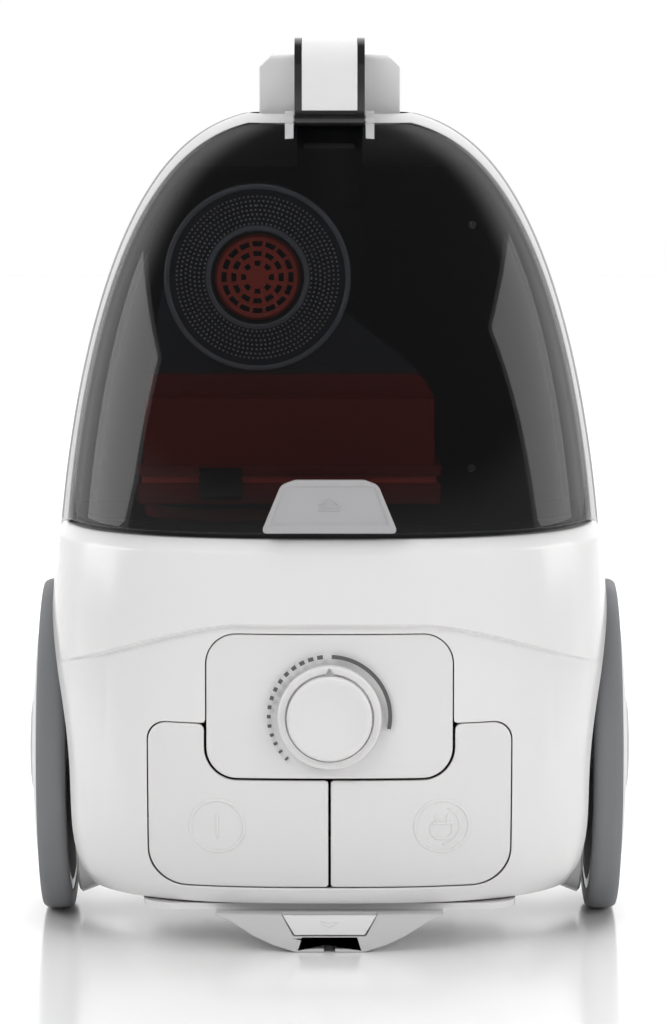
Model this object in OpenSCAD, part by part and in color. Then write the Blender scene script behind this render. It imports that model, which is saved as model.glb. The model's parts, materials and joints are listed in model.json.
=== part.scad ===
// Canister vacuum cleaner with a bagless dust container, parked upright on its tail.
// +Z runs from the tail to the nose, -Y faces the crown (lid, dial, pedals),
// +Y faces the belly that rides over the floor, and X runs along the wheel axle.
// The origin is on the ground, below the middle of the whole object's box.

/* [Body] */
// Width of the body over its two flanks
body_w = 274; // [262:2:330]
// Height of the rim's nose end above the ground
nose_z = 393; // [385:1:475]
// Distance from the axle to the crown of the body
crown = 138; // [134:1:168]
// Distance from the axle to the belly of the body
belly = 62; // [58:1:70]
// Height of the lower edge of the moulded shells
tail_z = 22; // [18:1:26]
// Thickness of the moulded shells
wall = 2.5; // [2:0.1:3]
// Gap between neighbouring outer panels
panel_gap = 0.6; // [0.4:0.1:1]

/* [Wheels] */
// Diameter of the big wheels
wheel_d = 162; // [156:2:196]
// Width of a tyre's tread
tread_w = 14.5; // [10:0.5:18]
// Radial height of a tyre
tyre_h = 9; // [6:0.5:14]
// Rise of the domed wheel disc above the tyre's side
dome_h = 7; // [4:0.5:10]
// Radius of the axle stubs
axle_r = 5; // [4:0.5:7]
// Radius of the caster wheel
caster_r = 9; // [7:0.5:9.5]
// Width of the caster wheel
caster_w = 10; // [8:0.5:14]
// Height of the caster above the ground when parked
caster_z = 335; // [300:1:345]
// Radial clearance of every turning fit
run_fit = 0.05; // [0.03:0.01:0.09]

/* [Controls] */
// Width of the dial panel
panel_w = 114; // [100:1:130]
// Height of the dial panel
panel_h = 67; // [60:1:70]
// Height of the panel's lower edge above the ground
panel_z = 85; // [78:1:95]
// Corner radius of the dial panel
panel_r = 14; // [8:1:20]
// Radius of the dial's collar
dial_r = 24; // [20:0.5:25]
// Height of the dial's cap above the panel
dial_h = 9; // [6:0.5:12]
// Height of the dial's centre above the panel's lower edge
dial_up = 29.4; // [28:0.2:34]
// Width over both pedals
pedals_w = 169; // [150:1:180]
// Height of the pedals' upper edge above the ground
pedals_top = 110; // [104:1:116]
// Height of the pedals' lower edge above the ground
pedals_low = 31; // [29:1:36]
// Travel of a pedal
pedal_travel = 4; // [3:0.5:5]

/* [Lid and handle] */
// Half the width of the lid at its widest, before it narrows
lid_half = 126; // [110:1:128]
// Height of the lid's lower edge above the ground
lid_z = 198.5; // [192:0.5:206]
// Width of the handle strap
strap_w = 33; // [24:1:40]
// Thickness of the handle strap
strap_t = 8; // [7:0.5:10]
// Clear height under the strap's top
grip_h = 24; // [22:1:32]
// Radius of the hose port
hose_r = 17; // [15:0.5:18]
// Width of the nose block
nose_w = 67; // [60:1:74]
/* [Dust container] */
// Radius of the cyclone drum
drum_r = 44; // [38:1:46]
// Width of the dust box
box_w = 136; // [120:1:142]
// Thickness of the container's wall
box_wall = 2; // [1.5:0.1:2.5]

/* [Drive] */
// Outer radius of the motor housing
motor_r = 47; // [42:0.5:48]
// Radius of the cord reel's flanges
reel_r = 60; // [50:1:62]
// Width of the cord reel
reel_w = 66; // [50:1:70]

/* [Hidden] */
$fn = 48;
eps = 0.01;

// ---- the skin of the body: half width, crown and belly depth against height ----
wheel_r = wheel_d / 2;
seam_y = -12;                         // depth of the line where crown half and belly half meet
crown_d = crown + seam_y;
belly_d = belly - seam_y;
widest_z = 85;                        // the flanks are widest here
shoulder_z = 150;                     // the crown is highest here
lid_gap_z = 2.5;                      // space between the rear cover's edge and the lid
cover_top = lid_z - lid_gap_z;
bevel_h = 6;                          // sloping ledge along the rear cover's upper edge
bevel_in = 3;
crown_n = 2.7;                        // roundness of the crown half's section
belly_n = 3.5;                        // roundness of the belly half's section

// Share of a size that is left at a share t of the way to an end
function lobe(t, a, b) = pow(max(0, 1 - pow(max(0, t), a)), b);
function rear_half(z) = z < widest_z
  ? body_w / 2 * lobe((widest_z - z) / widest_z, 3.2, 0.3)
  : body_w / 2 - 4.5 * pow((z - widest_z) / 90, 2);
function front_half(z) = (body_w / 2 - 5) * lobe((z - shoulder_z) / (nose_z - shoulder_z), 1.7, 0.305);
function crown_at(z) = crown_d * (z < shoulder_z
  ? lobe((shoulder_z - z) / 170, 3, 0.42)
  : lobe((z - shoulder_z) / (nose_z + 15 - shoulder_z), 1.6, 0.45));
function belly_at(z) = belly_d * (z < 200
  ? lobe((widest_z - z) / widest_z, 4, 0.3)
  : lobe((z - 200) / (nose_z + 7 - 200), 3, 0.4));
function lid_edge(z) = lid_half * lobe((z - shoulder_z) / (nose_z - 5 - shoulder_z), 1.9, 0.32);

// A point of the crown skin: u from -1 to 1 across, i inside the surface, w the half width at z
function crown_point(u, z, i, w) = [
  (w - i) * sign(u) * pow(abs(sin(90 * u)), 2 / crown_n),
  seam_y - (crown_at(z) - i) * pow(abs(cos(90 * u)), 2 / crown_n), z];
function belly_point(u, z, i, w) = [
  -(w - i) * sign(u) * pow(abs(sin(90 * u)), 2 / belly_n),
  seam_y + (belly_at(z) - i) * pow(abs(cos(90 * u)), 2 / belly_n), z];
// The u of a crown point whose x is given
function u_of(x, w) = sign(x) * asin(pow(min(1, abs(x) / w), crown_n / 2)) / 90;
// Crown point straight above x and z on the front body
function front_point(x, z, i) = crown_point(u_of(x, front_half(z)), z, i, front_half(z));
function crown_y(x, z, i, w) = crown_point(u_of(x, w), z, i, w)[1];
function belly_y(x, z) = seam_y + belly_at(z) * pow(1 - pow(abs(x) / belly_half(z), belly_n), 1 / belly_n);

function steps(n) = [for (k = [0 : n]) k / n];
function spread(n) = [for (k = [-n : n]) k / n];

// A closed slab between two grids of points, outer (a) and inner (b)
module slab(a, b) {
  r = len(a);
  c = len(a[0]);
  function id(k, i, j) = k * r * c + i * c + j;
  function quad(p, q, s, t) = [[p, s, q], [p, t, s]];
  polyhedron(
    points = concat([for (row = a) each row], [for (row = b) each row]),
    faces = concat(
      [for (i = [0 : r - 2], j = [0 : c - 2])
        each quad(id(0, i, j), id(0, i, j + 1), id(0, i + 1, j + 1), id(0, i + 1, j))],
      [for (i = [0 : r - 2], j = [0 : c - 2])
        each quad(id(1, i + 1, j), id(1, i + 1, j + 1), id(1, i, j + 1), id(1, i, j))],
      [for (i = [0 : r - 2]) each quad(id(0, i, 0), id(0, i + 1, 0), id(1, i + 1, 0), id(1, i, 0))],
      [for (i = [0 : r - 2])
        each quad(id(1, i, c - 1), id(1, i + 1, c - 1), id(0, i + 1, c - 1), id(0, i, c - 1))],
      [for (j = [0 : c - 2]) each quad(id(1, 0, j), id(1, 0, j + 1), id(0, 0, j + 1), id(0, 0, j))],
      [for (j = [0 : c - 2])
        each quad(id(0, r - 1, j), id(0, r - 1, j + 1), id(1, r - 1, j + 1), id(1, r - 1, j))]));
}

// A band of the rear cover's skin between two heights, from inset i to inset j
module rear_skin(z0, z1, i, j, rows = 12, cols = 16) {
  zs = [for (t = steps(rows)) z0 + (z1 - z0) * t];
  slab([for (z = zs) [for (u = spread(cols)) crown_point(u, z, i, rear_half(z))]],
       [for (z = zs) [for (u = spread(cols)) crown_point(u, z, j, rear_half(z))]]);
}

// Turns a flat outline drawn in X and Z into a prism from depth y0 to y1
module prism(y0, y1) translate([0, y1, 0]) rotate([90, 0, 0]) linear_extrude(y1 - y0) children();
module along_x(x0, x1) translate([x0, 0, 0]) rotate([90, 0, 90]) linear_extrude(x1 - x0) children();
module rod_x(r, x0, x1, y, z) translate([x0, y, z]) rotate([0, 90, 0]) cylinder(r = r, h = x1 - x0);
module rod_y(r, y0, y1, x, z) translate([x, y1, z]) rotate([90, 0, 0]) cylinder(r = r, h = y1 - y0);
module rod_z(r, z0, z1, x, y) translate([x, y, z0]) cylinder(r = r, h = z1 - z0);
module block(lo, hi) translate(lo) cube(hi - lo);
// Rectangle in two axes with round corners
module round_rect(lo, hi, r) {
  for (x = [lo[0] + r, hi[0] - r], y = [lo[1] + r, hi[1] - r]) translate([x, y]) circle(r = r);
  translate([lo[0] + r, lo[1]]) square([hi[0] - lo[0] - 2 * r, hi[1] - lo[1]]);
  translate([lo[0], lo[1] + r]) square([hi[0] - lo[0], hi[1] - lo[1] - 2 * r]);
}

// Joins freeform skins into one surface; bores are cut outside it, so they stay true
module meshed() resize([0, 0, 0]) union() children();

// ---- wheels and wheel wells ----
wheel_in = body_w / 2 - 12;           // inner face of a wheel
wheel_out = wheel_in + tread_w;
well_r = wheel_r + 3.5;
well_x = body_w / 2 - 34;             // inner wall of a wheel well
hub_face = wheel_in - 3;              // outer face of the fixed hub drum
hub_r = wheel_r - 8;
hub_r_in = wheel_r - 15;

// Both wheel wells, g larger all round
module well_cuts(g = 0) for (s = [0, 1]) mirror([s, 0, 0])
  rod_x(well_r + g, well_x - g, body_w, 0, wheel_r);

// Fixed cone that fills the middle of a wheel well and carries the axle stub
module hub_drum() {
  rotate([0, 90, 0]) difference() {
    translate([0, 0, well_x - wall]) cylinder(r1 = hub_r_in, r2 = hub_r, h = hub_face - well_x + wall);
    translate([0, 0, well_x - 2 * wall])
      cylinder(r1 = hub_r_in - wall, r2 = hub_r - wall, h = hub_face - well_x + wall);
  }
  rod_x(3 * axle_r, well_x + wall, hub_face - wall / 2, 0, 0);
}

// Flat inner wall of a wheel well, trimmed to the inside of the shells
module well_wall() intersection() {
  difference() {
    rod_x(well_r + wall, well_x - wall, well_x, 0, wheel_r);
    rod_x(hub_r_in - wall, well_x - 2 * wall, well_x + wall, 0, wheel_r);
  }
  union() {
    belly_core(wall / 2);
    block([0, -well_r - wall, tail_z + wall], [body_w, seam_y + 1, shoulder_z + 40]);
  }
}

// ---- caster seat and screw posts on the belly ----
caster_axle_y = wheel_r - caster_r;
swivel_r = 4;
swivel_z = caster_z - 8;              // the swivel leads the caster's axle by its trail
swivel_y0 = belly - 30;
swivel_y1 = belly - 3.4;
fork_r = 11;                          // radius of the caster fork's flange
screw_r = 2;
head_r = 4;
head_h = 2;
head_sink = 3.5;                      // depth of a screw head's seat below the skin
screw_x = 70;
screw_zs = [lid_z + 16, lid_z + 136];

belly_rows = [for (t = steps(16)) tail_z + (nose_z - 3 - tail_z) * (1 - pow(1 - t, 1.5))];
function belly_half(z) = z < cover_top ? rear_half(z) : front_half(z);
function belly_grid(i) = [for (z = belly_rows) [for (u = spread(14)) belly_point(u, z, i, belly_half(z))]];
// The filled belly half, i inside its skin
module belly_core(i) slab(belly_grid(i),
  [for (row = belly_grid(i)) [for (p = row) [p[0], seam_y, p[2]]]]);

module base_shell() color("#e9e8e8") place() difference() {
  meshed() {
    difference() {
      slab(belly_grid(0), belly_grid(wall));
      well_cuts();
      block([-nose_half - 0.2, seam_y - 1, nose_low - 0.2], [nose_half + 0.2, nose_y1 + 0.2, nose_z + 9]);
    }
    rod_y(swivel_r + 6, swivel_y0, swivel_y1, 0, swivel_z);
    for (x = [-screw_x, screw_x], z = screw_zs)
      rod_y(head_r + 2, tub_y + tub_t + 0.3, belly_y(x, z) - 1.2, x, z, $fn = 24);
    for (s = [0, 1]) mirror([s, 0, 0]) {
      well_wall();
      translate([0, 0, wheel_r]) hub_drum();
    }
  }
  rod_y(swivel_r + run_fit, seam_y, belly + 9, 0, swivel_z);
  // room for the fork's flange where the belly bulges past the seat
  rod_y(fork_r + 1, swivel_y1 + 0.1, belly + 9, 0, swivel_z);
  rod_y(gland_r, belly - 30, belly + 9, gland_x, gland_z);
  rod_x(axle_r, -body_w, body_w, 0, wheel_r);
  for (x = [-screw_x, screw_x], z = screw_zs) {
    rod_y(screw_r + 0.1, tub_y, belly, x, z);
    rod_y(head_r + 0.2, belly_y(x, z) - head_sink, belly + 9, x, z);
  }
}

// ---- crown side: rim round the lid, side band, nose ----
rim_x = 0.985;                        // the rim ends at this share of the half width
nose_half = nose_w / 2;
rim_rows = [for (t = steps(14)) 90 * t];
rim_out_z = nose_z - 3;
lid_top = nose_z - 8;
lid_gap = 0.8;                        // space between the lid's top edge and the rim
function lid_row(t) = lid_z + (lid_top - lid_z) * sin(t);
function rim_side_z(t) = cover_top + (rim_out_z - cover_top) * sin(t);
rim_mid_z = lid_top + 2 * lid_gap;
// One cross line of the rim, from the flank (v = 1) to the lid's edge (v = 0)
function rim_line(t, i) = [for (v = [1, 0.75, 0.5, 0.25, 0]) let (
    z0 = lid_row(t) + lid_gap * sin(t), z1 = rim_side_z(t), z = z0 + (z1 - z0) * v,
    x0 = lid_edge(lid_row(t)) + panel_gap, x1 = front_half(z1) * rim_x)
  front_point(x0 + (x1 - x0) * v, z, i)];
function rim_bridge(x, i) = [for (v = [1, 0.75, 0.5, 0.25, 0]) front_point(x, rim_mid_z + 4 * v, i)];
function flip_x(line) = [for (p = line) [-p[0], p[1], p[2]]];
function rim_grid(i) = concat(
  [for (t = rim_rows) flip_x(rim_line(t, i))],
  [for (x = [-16, 0, 16]) rim_bridge(x, i)],
  [for (k = [len(rim_rows) - 1 : -1 : 0]) rim_line(rim_rows[k], i)]);

module rim_frame() color("#dedddd") place() meshed() difference() {
  slab(rim_grid(0), rim_grid(wall));
  block([-nose_half - 0.2, nose_y0 - 0.2, lid_z], [nose_half + 0.2, 0, nose_z + 10]);
}

module side_band() color("#8f8f8f") place() for (s = [0, 1]) mirror([s, 0, 0]) {
  zs = [for (t = steps(14)) cover_top + 1 + (nose_z - 5 - cover_top) * sin(90 * t)];
  u0 = u_of(rim_x, 1) + 0.004;
  us = [for (v = steps(4)) u0 + (1 - u0) * v];
  slab([for (z = zs) [for (u = us) crown_point(u, z, 0, front_half(z))]],
       [for (z = zs) [for (u = us) crown_point(u, z, wall, front_half(z))]]);
}

nose_y0 = -38;
nose_y1 = 26;
nose_low = nose_z - 8;
nose_top = nose_z + 1 + grip_h;
hose_y = 4;
hose_deep = 30;
nose_cut = 6;                         // chamfer of the block's upper corners
// Points of a quarter circle of radius r about c, from angle a
function arc(c, r, a) = [for (t = steps(8)) c + r * [cos(a + 90 * t), sin(a + 90 * t)]];

module nose_block() color("#d9d8d8") place() difference() {
  intersection() {
    prism(nose_y0, nose_y1) polygon([[-nose_half, nose_low], [-nose_half, nose_top - nose_cut],
      [-nose_half + nose_cut, nose_top], [nose_half - nose_cut, nose_top], [nose_half, nose_top - nose_cut],
      [nose_half, nose_low]]);
    along_x(-nose_half, nose_half) polygon(concat([[nose_y0, nose_low], [nose_y1, nose_low]],
      arc([nose_y1 - 16, nose_top - 16], 16, 0), arc([nose_y0 + 3, nose_top - 3], 3, 90)));
  }
  rod_z(hose_r, nose_top - hose_deep, nose_top + 1, 0, hose_y);
  rod_z(hose_r - 3, nose_low - 1, nose_top, 0, hose_y);
}

// ---- carrying handle with the lid's hinge barrel at its foot ----
pin_r = 2;
barrel_r = 3.5;
hinge_y = crown_y(0, lid_top, 0, front_half(lid_top)) - 2.5;
hinge_z = lid_top + 3;
strap_y = nose_y0 - 32 - strap_t;     // outer face of the strap
strap_top = nose_top + strap_t;
strap_low = nose_z - 1;
rail_w = 3.4;
cover_t = 3;
strap_bend = 14;

// Side view of the strap (Y across, Z up), i thinner on the outside
module strap_side(i) difference() {
  union() {
    round_rect([strap_y + i, strap_low], [nose_y0 + 20, strap_top - i], strap_bend - i);
    translate([strap_y + i, strap_low]) square([20, 16]);
  }
  round_rect([strap_y + strap_t, strap_low - 40], [nose_y0 + 60, nose_top], strap_bend - strap_t);
  translate([nose_y0 + 20, strap_low]) square([50, 100]);
}

module handle_frame() color("#262626") place() difference() {
  along_x(-strap_w / 2, strap_w / 2) {
    strap_side(0);
    translate([strap_y, strap_low]) square([nose_y0 - strap_y, 2.5]);
    translate([hinge_y - barrel_r + 0.5, hinge_z]) square([2 * barrel_r - 1, strap_low - hinge_z + 1]);
    translate([hinge_y, hinge_z]) circle(r = barrel_r);
  }
  difference() {
    along_x(-strap_w / 2 + rail_w, strap_w / 2 - rail_w) strap_side(0);
    along_x(-strap_w, strap_w) strap_side(cover_t);
  }
  rod_x(pin_r, -strap_w, strap_w, hinge_y, hinge_z);
}

module handle_cover() color("#e4e3e3") place() difference() {
  along_x(-strap_w / 2 + rail_w + 0.1, strap_w / 2 - rail_w - 0.1) strap_side(0);
  along_x(-strap_w, strap_w) strap_side(cover_t - 0.1);
}

// ---- rear cover and its controls ----
pedal_half = pedals_w / 2;
module panel_outline(g = 0)
  round_rect([-panel_w / 2 - g, panel_z - g], [panel_w / 2 + g, panel_z + panel_h + g],
  panel_r + g);
module pedal_pair_outline(g = 0) difference() {
  union() {
    translate([0, pedals_low + 40]) round_rect([-pedal_half - g, -40 - g], [pedal_half + g, 20], 18);
    translate([0, pedals_low + 22])
      round_rect([-pedal_half - g, 0], [pedal_half + g, pedals_top - pedals_low - 22 + g], 9);
  }
}
module pedal_outline() difference() {
  pedal_pair_outline();
  panel_outline(2 * panel_gap);
  translate([-panel_gap, 0]) square([300, 300]);
}

module rear_cover() color("#e6e5e5") place() meshed() {
  zs = concat([for (t = steps(14)) tail_z + (cover_top - bevel_h - tail_z) * t], [cover_top]);
  ins = concat([for (t = steps(14)) 0], [bevel_in]);
  difference() {
    slab([for (k = [0 : 15]) [for (u = spread(20)) crown_point(u, zs[k], ins[k], rear_half(zs[k]))]],
         [for (k = [0 : 15])
           [for (u = spread(20)) crown_point(u, zs[k], ins[k] + wall, rear_half(zs[k]))]]);
    prism(-crown - 20, seam_y - 40) {
      panel_outline(panel_gap);
      pedal_pair_outline(panel_gap);
    }
    well_cuts();
  }
}

dial_z = panel_z + dial_up;
dial_y = crown_y(0, dial_z, 0, rear_half(dial_z));
// The parts are drawn about the wheel axle, then moved so that the origin is under the box's middle
axle_y = (dial_h - dial_y - wheel_r) / 2;
module place() translate([0, axle_y, 0]) children();
shaft_r = 3;
panel_t = 3;

module dial_panel() color("#e2e1e1") place() difference() {
  meshed() difference() {
    intersection() {
      panel_skin(0, panel_t);
      prism(-crown - 20, seam_y) panel_outline();
    }
    scale_inlay(0.5);
  }
  rod_y(dial_r + 0.3, -crown - 20, dial_y + 0.8, 0, dial_z);
  rod_y(shaft_r + 2, -crown - 20, seam_y, 0, dial_z);
}

dash_r = dial_r + 4;
dash_w = 1.8;
dash_count = 15;
dash_step = 9;
module panel_skin(i, j) rear_skin(panel_z - 4, panel_z + panel_h + 4, i, j, 8, 12);
// Dashes that grow clockwise round the dial, then one long arc
module scale_outline() translate([0, dial_z]) {
  for (k = [0 : dash_count - 1])
    rotate(-135 - dash_step * k) translate([dash_r - dash_w / 2, -0.5 - 0.06 * k])
    square([dash_w, 1 + 0.12 * k]);
  arc_a = -137 - dash_step * dash_count;
  polygon([for (side = [1, -1], t = steps(24)) let (a = arc_a - 50 + 50 * side * (1 - 2 * t))
    (dash_r + side * dash_w / 2) * [cos(a), sin(a)]]);
}
// The scale as a layer let into the panel, standing h above its skin
module scale_inlay(h) intersection() {
  panel_skin(-h, 0.6);
  prism(-crown - 20, seam_y) scale_outline();
}
module dial_scale() color("#5c5c5c") place() meshed() scale_inlay(0.15);

module dial_knob() color("#e8e7e7") place() difference() {
  union() {
    rod_y(dial_r, dial_y - 3, dial_y + 0.5, 0, dial_z);
    rod_y(dial_r - 4.4, dial_y - dial_h, dial_y - 2, 0, dial_z);
  }
  rod_y(shaft_r + run_fit, dial_y - dial_h + 3, dial_y + 2, 0, dial_z);
  prism(dial_y - dial_h - 1, dial_y - 1) translate([0, dial_z + dial_r - 2])
    polygon([[-2, -1.6], [2, -1.6], [0, 2.4]]);
}

board_y = dial_y + 14;
module dial_shaft() color("#b9bcc0") place() {
  rod_y(shaft_r, dial_y - dial_h + 4, board_y - 6.5, 0, dial_z);
}
module control_board() color("#2f6b3c") place() {
  difference() {
    block([-50, board_y, panel_z + 4], [50, board_y + 1.6, panel_z + panel_h - 4]);
    for (x = [-45, 45], z = [panel_z + 9, panel_z + panel_h - 9])
      rod_y(1.6, board_y - 2, board_y + 4, x, z);
  }
  difference() {
    rod_y(8, board_y - 6, board_y, 0, dial_z);
    rod_y(shaft_r + 1, board_y - 7, board_y - 4, 0, dial_z);
  }
  for (x = [-36, 28]) block([x, board_y + 1.6, dial_z - 10], [x + 10, board_y + 9, dial_z + 10]);
}

pedal_t = 3;
stem_r = 4;
pedal_x = 52;
pedal_z = pedals_low + 30;
stem_y0 = crown_y(pedal_x, pedal_z, pedal_t, rear_half(pedal_z));
stem_y1 = stem_y0 + 16;
sleeve_y0 = stem_y0 + pedal_travel + 4.5;
module pedal(side) mirror([side, 0, 0]) {
  meshed() intersection() {
    rear_skin(pedals_low - 4, pedals_top + 4, 0, pedal_t, 10, 16);
    prism(-crown - 20, seam_y - 30) pedal_outline();
  }
  rod_y(stem_r, stem_y0 - 1, stem_y1, -pedal_x, pedal_z);
}
module power_pedal() color("#e4e3e3") place() pedal(0);
module rewind_pedal() color("#e4e3e3") place() pedal(1);

// Two sleeves on a cross bar that the pedal stems slide in
module pedal_guides() color("#4a4a4a") place() difference() {
  union() {
    for (s = [-1, 1]) rod_y(stem_r + 3, sleeve_y0, sleeve_y0 + 7, s * pedal_x, pedal_z);
    block([-pedal_x, sleeve_y0 + 2, pedal_z - 4], [pedal_x, sleeve_y0 + 6, pedal_z + 4]);
  }
  for (s = [-1, 1]) rod_y(stem_r + run_fit, stem_y1 - 20, stem_y1 + 20, s * pedal_x, pedal_z);
}

module power_switch() color("#3a3a3a") place() {
  block([-pedal_x - 9, stem_y1 + 8, pedal_z - 12], [-pedal_x + 9, stem_y1 + 20, pedal_z + 12]);
  rod_y(3, stem_y1 + pedal_travel + 0.5, stem_y1 + 9, -pedal_x, pedal_z);
}

// ---- compartment behind the lid ----
tub_t = 2.5;
tub_y = 22;
tub_gap = 7;
tub_z0 = lid_z - tub_t;
tub_z1 = nose_z - 30;
module tub_floor_outline() polygon(concat(
  [for (u = spread(16)) let (p = crown_point(u, lid_z, tub_gap, front_half(lid_z))) [p[0], p[1]]],
  [[front_half(lid_z) - tub_gap, tub_y], [-front_half(lid_z) + tub_gap, tub_y]]));
intake_r = 30;
motor_x = -(motor_r + 3);
motor_y = -36;
module compartment_tub() color("#3b3b3d") place() {
  difference() {
    translate([0, 0, tub_z0]) linear_extrude(tub_t) tub_floor_outline();
    rod_z(intake_r, 0, 300, motor_x, motor_y);
    well_cuts(wall + 0.5);
  }
  difference() {
    prism(tub_y, tub_y + tub_t) polygon(concat(
      [for (t = steps(12)) let (z = tub_z0 + (tub_z1 - tub_z0) * t) [-front_half(z) + 2 * tub_gap, z]],
      [for (t = steps(12)) let (z = tub_z1 - (tub_z1 - tub_z0) * t) [front_half(z) - 2 * tub_gap, z]]));
    for (x = [-screw_x, screw_x], z = screw_zs) rod_y(screw_r, tub_y - 1, belly, x, z);
  }
}

module case_screws() color("#9a9ca0") place() for (x = [-screw_x, screw_x], z = screw_zs) {
  seat_y = belly_y(x, z) - head_sink;
  rod_y(screw_r, tub_y, seat_y, x, z);
  rod_y(head_r, seat_y, seat_y + head_h, x, z);
}

// ---- tail: exhaust cover, latch, bracket, filter ----
tail_w = 176;
tail_y0 = -104;
tail_y1 = 40;
tail_t = 3;
tail_gap = 1;
tail_top = tail_z - tail_gap;
hinge_half = 60;                      // half the length of the cover's hinge roll
knuckle_r = 2.2;
knuckle_z = tail_top - tail_t / 2;
peg_r = 1.2;
eye_t = 3;
module exhaust_cover() color("#dcdbdb") place() {
  cover_plate();
  rod_x(knuckle_r, -hinge_half, hinge_half, tail_y1, knuckle_z);
  rod_x(peg_r, -hinge_half - eye_t, hinge_half + eye_t, tail_y1, knuckle_z);
}
module cover_plate() translate([0, 0, tail_top - tail_t]) linear_extrude(tail_t) difference() {
  round_rect([-tail_w / 2, tail_y0], [tail_w / 2, tail_y1], 16);
  for (x = [-11 : 11], y = [0 : 9]) if (abs(x) > 3 || y > 2) translate([x * 6.4, tail_y0 + 18 + y * 10])
    circle(r = 2);
  // notches that the frame's hinge eyes stand in
  for (x = [-hinge_half - eye_t - 0.6, hinge_half]) translate([x, tail_y1 - knuckle_r - 1.6])
    square([eye_t + 0.6, knuckle_r + 2]);
}

latch_half = 22;
bracket_half = 54;
slot_half = 12;
bracket_y0 = tail_y0 - 14;
bracket_y1 = tail_y0 + 12;
bracket_top = tail_top - tail_t;
module bracket_outline() polygon([
  [-bracket_half, bracket_top], [-46, 14.5], [-36, 8], [-26.5, 3.4], [-17, 0.4],
  [-15, 0], [15, 0], [17, 0.4], [26.5, 3.4], [36, 8], [46, 14.5], [bracket_half, bracket_top]]);
module parking_bracket() color("#cfcece") place() difference() {
  prism(bracket_y0, bracket_y1) bracket_outline();
  // latch pocket, open to the front
  prism(bracket_y0 - 1, bracket_y0 + 8) polygon([[-latch_half - 1, bracket_top + 1], [-17, 7.6], [17, 7.6],
    [latch_half + 1, bracket_top + 1]]);
  // parking slot with its narrow mouth
  block([-slot_half, bracket_y0 - 1, 1.8], [slot_half, bracket_y1 - 6, 6.4]);
  block([-2.5, bracket_y0 - 1, -1], [2.5, bracket_y1 - 6, 3]);
}
module exhaust_latch() color("#d6d5d5") place() prism(bracket_y0 + 0.5, bracket_y0 + 4) polygon([
  [-latch_half, bracket_top - 0.4], [-16.4, 8.2], [16.4, 8.2], [latch_half, bracket_top - 0.4]]);

frame_t = 2.5;
function tail_line(i) = concat(
  [for (u = spread(12)) let (p = crown_point(u, tail_z, i, rear_half(tail_z))) [p[0], p[1]]],
  [for (u = spread(12)) let (p = belly_point(u, tail_z, i, rear_half(tail_z))) [p[0], p[1]]]);
// Flat floor of the body round the filter, with two eyes for the cover's hinge
module tail_frame() color("#dddcdc") place() difference() {
  union() {
    translate([0, 0, tail_z]) linear_extrude(frame_t) difference() {
      intersection() {
        polygon(tail_line(wall + 0.3));
        translate([-well_x + wall + 0.3, -crown]) square([2 * (well_x - wall - 0.3), 2 * crown]);
      }
      translate([filter_lo[0] - 1, filter_lo[1] - 1]) square(filter_hi - filter_lo + [2, 2]);
    }
    for (x = [-hinge_half - eye_t - 0.3, hinge_half + 0.3])
      block([x, tail_y1 - knuckle_r, knuckle_z - knuckle_r], [x + eye_t, tail_y1 + knuckle_r, tail_z + 1]);
  }
  rod_x(peg_r + run_fit, -hinge_half - 3 * eye_t, hinge_half + 3 * eye_t, tail_y1, knuckle_z);
}

filter_z0 = tail_top + 4;
filter_h = 22;
filter_lo = [-78, -84];
filter_hi = [78, 30];
module filter_frame() color("#3d3d3f") place()
translate([0, 0, filter_z0]) linear_extrude(filter_h) difference() {
  round_rect(filter_lo, filter_hi, 6);
  round_rect(filter_lo + [3, 3], filter_hi - [3, 3], 4);
}
pleat_count = 24;
module hepa_filter() color("#f1f0ea") place() {
  pitch = (filter_hi[0] - filter_lo[0] - 8) / pleat_count;
  translate([filter_lo[0] + 4, filter_hi[1] - 4, filter_z0 + 1]) rotate([90, 0, 0])
    linear_extrude(filter_hi[1] - filter_lo[1] - 8)
      polygon(concat([for (k = [0 : pleat_count]) [k * pitch, k % 2 * (filter_h - 6)]],
        [for (k = [pleat_count : -1 : 0]) [k * pitch, k % 2 * (filter_h - 6) + 3]]));
}

// ---- suction motor, axis along Z ----
motor_z0 = filter_z0 + filter_h + 8;
motor_z1 = lid_z - tub_t - 6;
fan_z = motor_z1 - 34;
shaft_z0 = motor_z0 + 6;
module at_motor() translate([motor_x, motor_y, 0]) children();
module ring_z(r_out, r_in, z0, z1) translate([0, 0, z0]) difference() {
  cylinder(r = r_out, h = z1 - z0);
  translate([0, 0, -1]) cylinder(r = r_in, h = z1 - z0 + 2);
}
module motor_housing() color("#55575a") place() at_motor() {
  difference() {
    union() {
      ring_z(motor_r, motor_r - wall, motor_z0, motor_z1);
      ring_z(motor_r - 1, 15, motor_z0, motor_z0 + wall);
      ring_z(motor_r - 1, intake_r - 4, motor_z1 - wall, motor_z1);
    }
    for (a = [0 : 45 : 315]) rotate(a)
      translate([motor_r - 12, 0, motor_z0 - 1]) cylinder(r = 5, h = 2 * wall);
  }
}
module motor_stator() color("#8b8178") place() at_motor() {
  ring_z(36, 24, motor_z0 + 22, fan_z - 18);
  for (a = [45 : 90 : 315]) rotate(a) block([35, -4, motor_z0 + 30], [motor_r - wall - 0.2, 4, fan_z - 26]);
}
module motor_rotor() color("#a9744a") place() at_motor() difference() {
  union() {
    rod_z(22, motor_z0 + 24, fan_z - 20, 0, 0);
    rod_z(10, motor_z0 + 14, motor_z0 + 25, 0, 0);
  }
  rod_z(4 + eps, motor_z0, fan_z, 0, 0);
}
module motor_shaft() color("#b9bcc0") place() at_motor() rod_z(4, shaft_z0, fan_z + 22, 0, 0);
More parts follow.
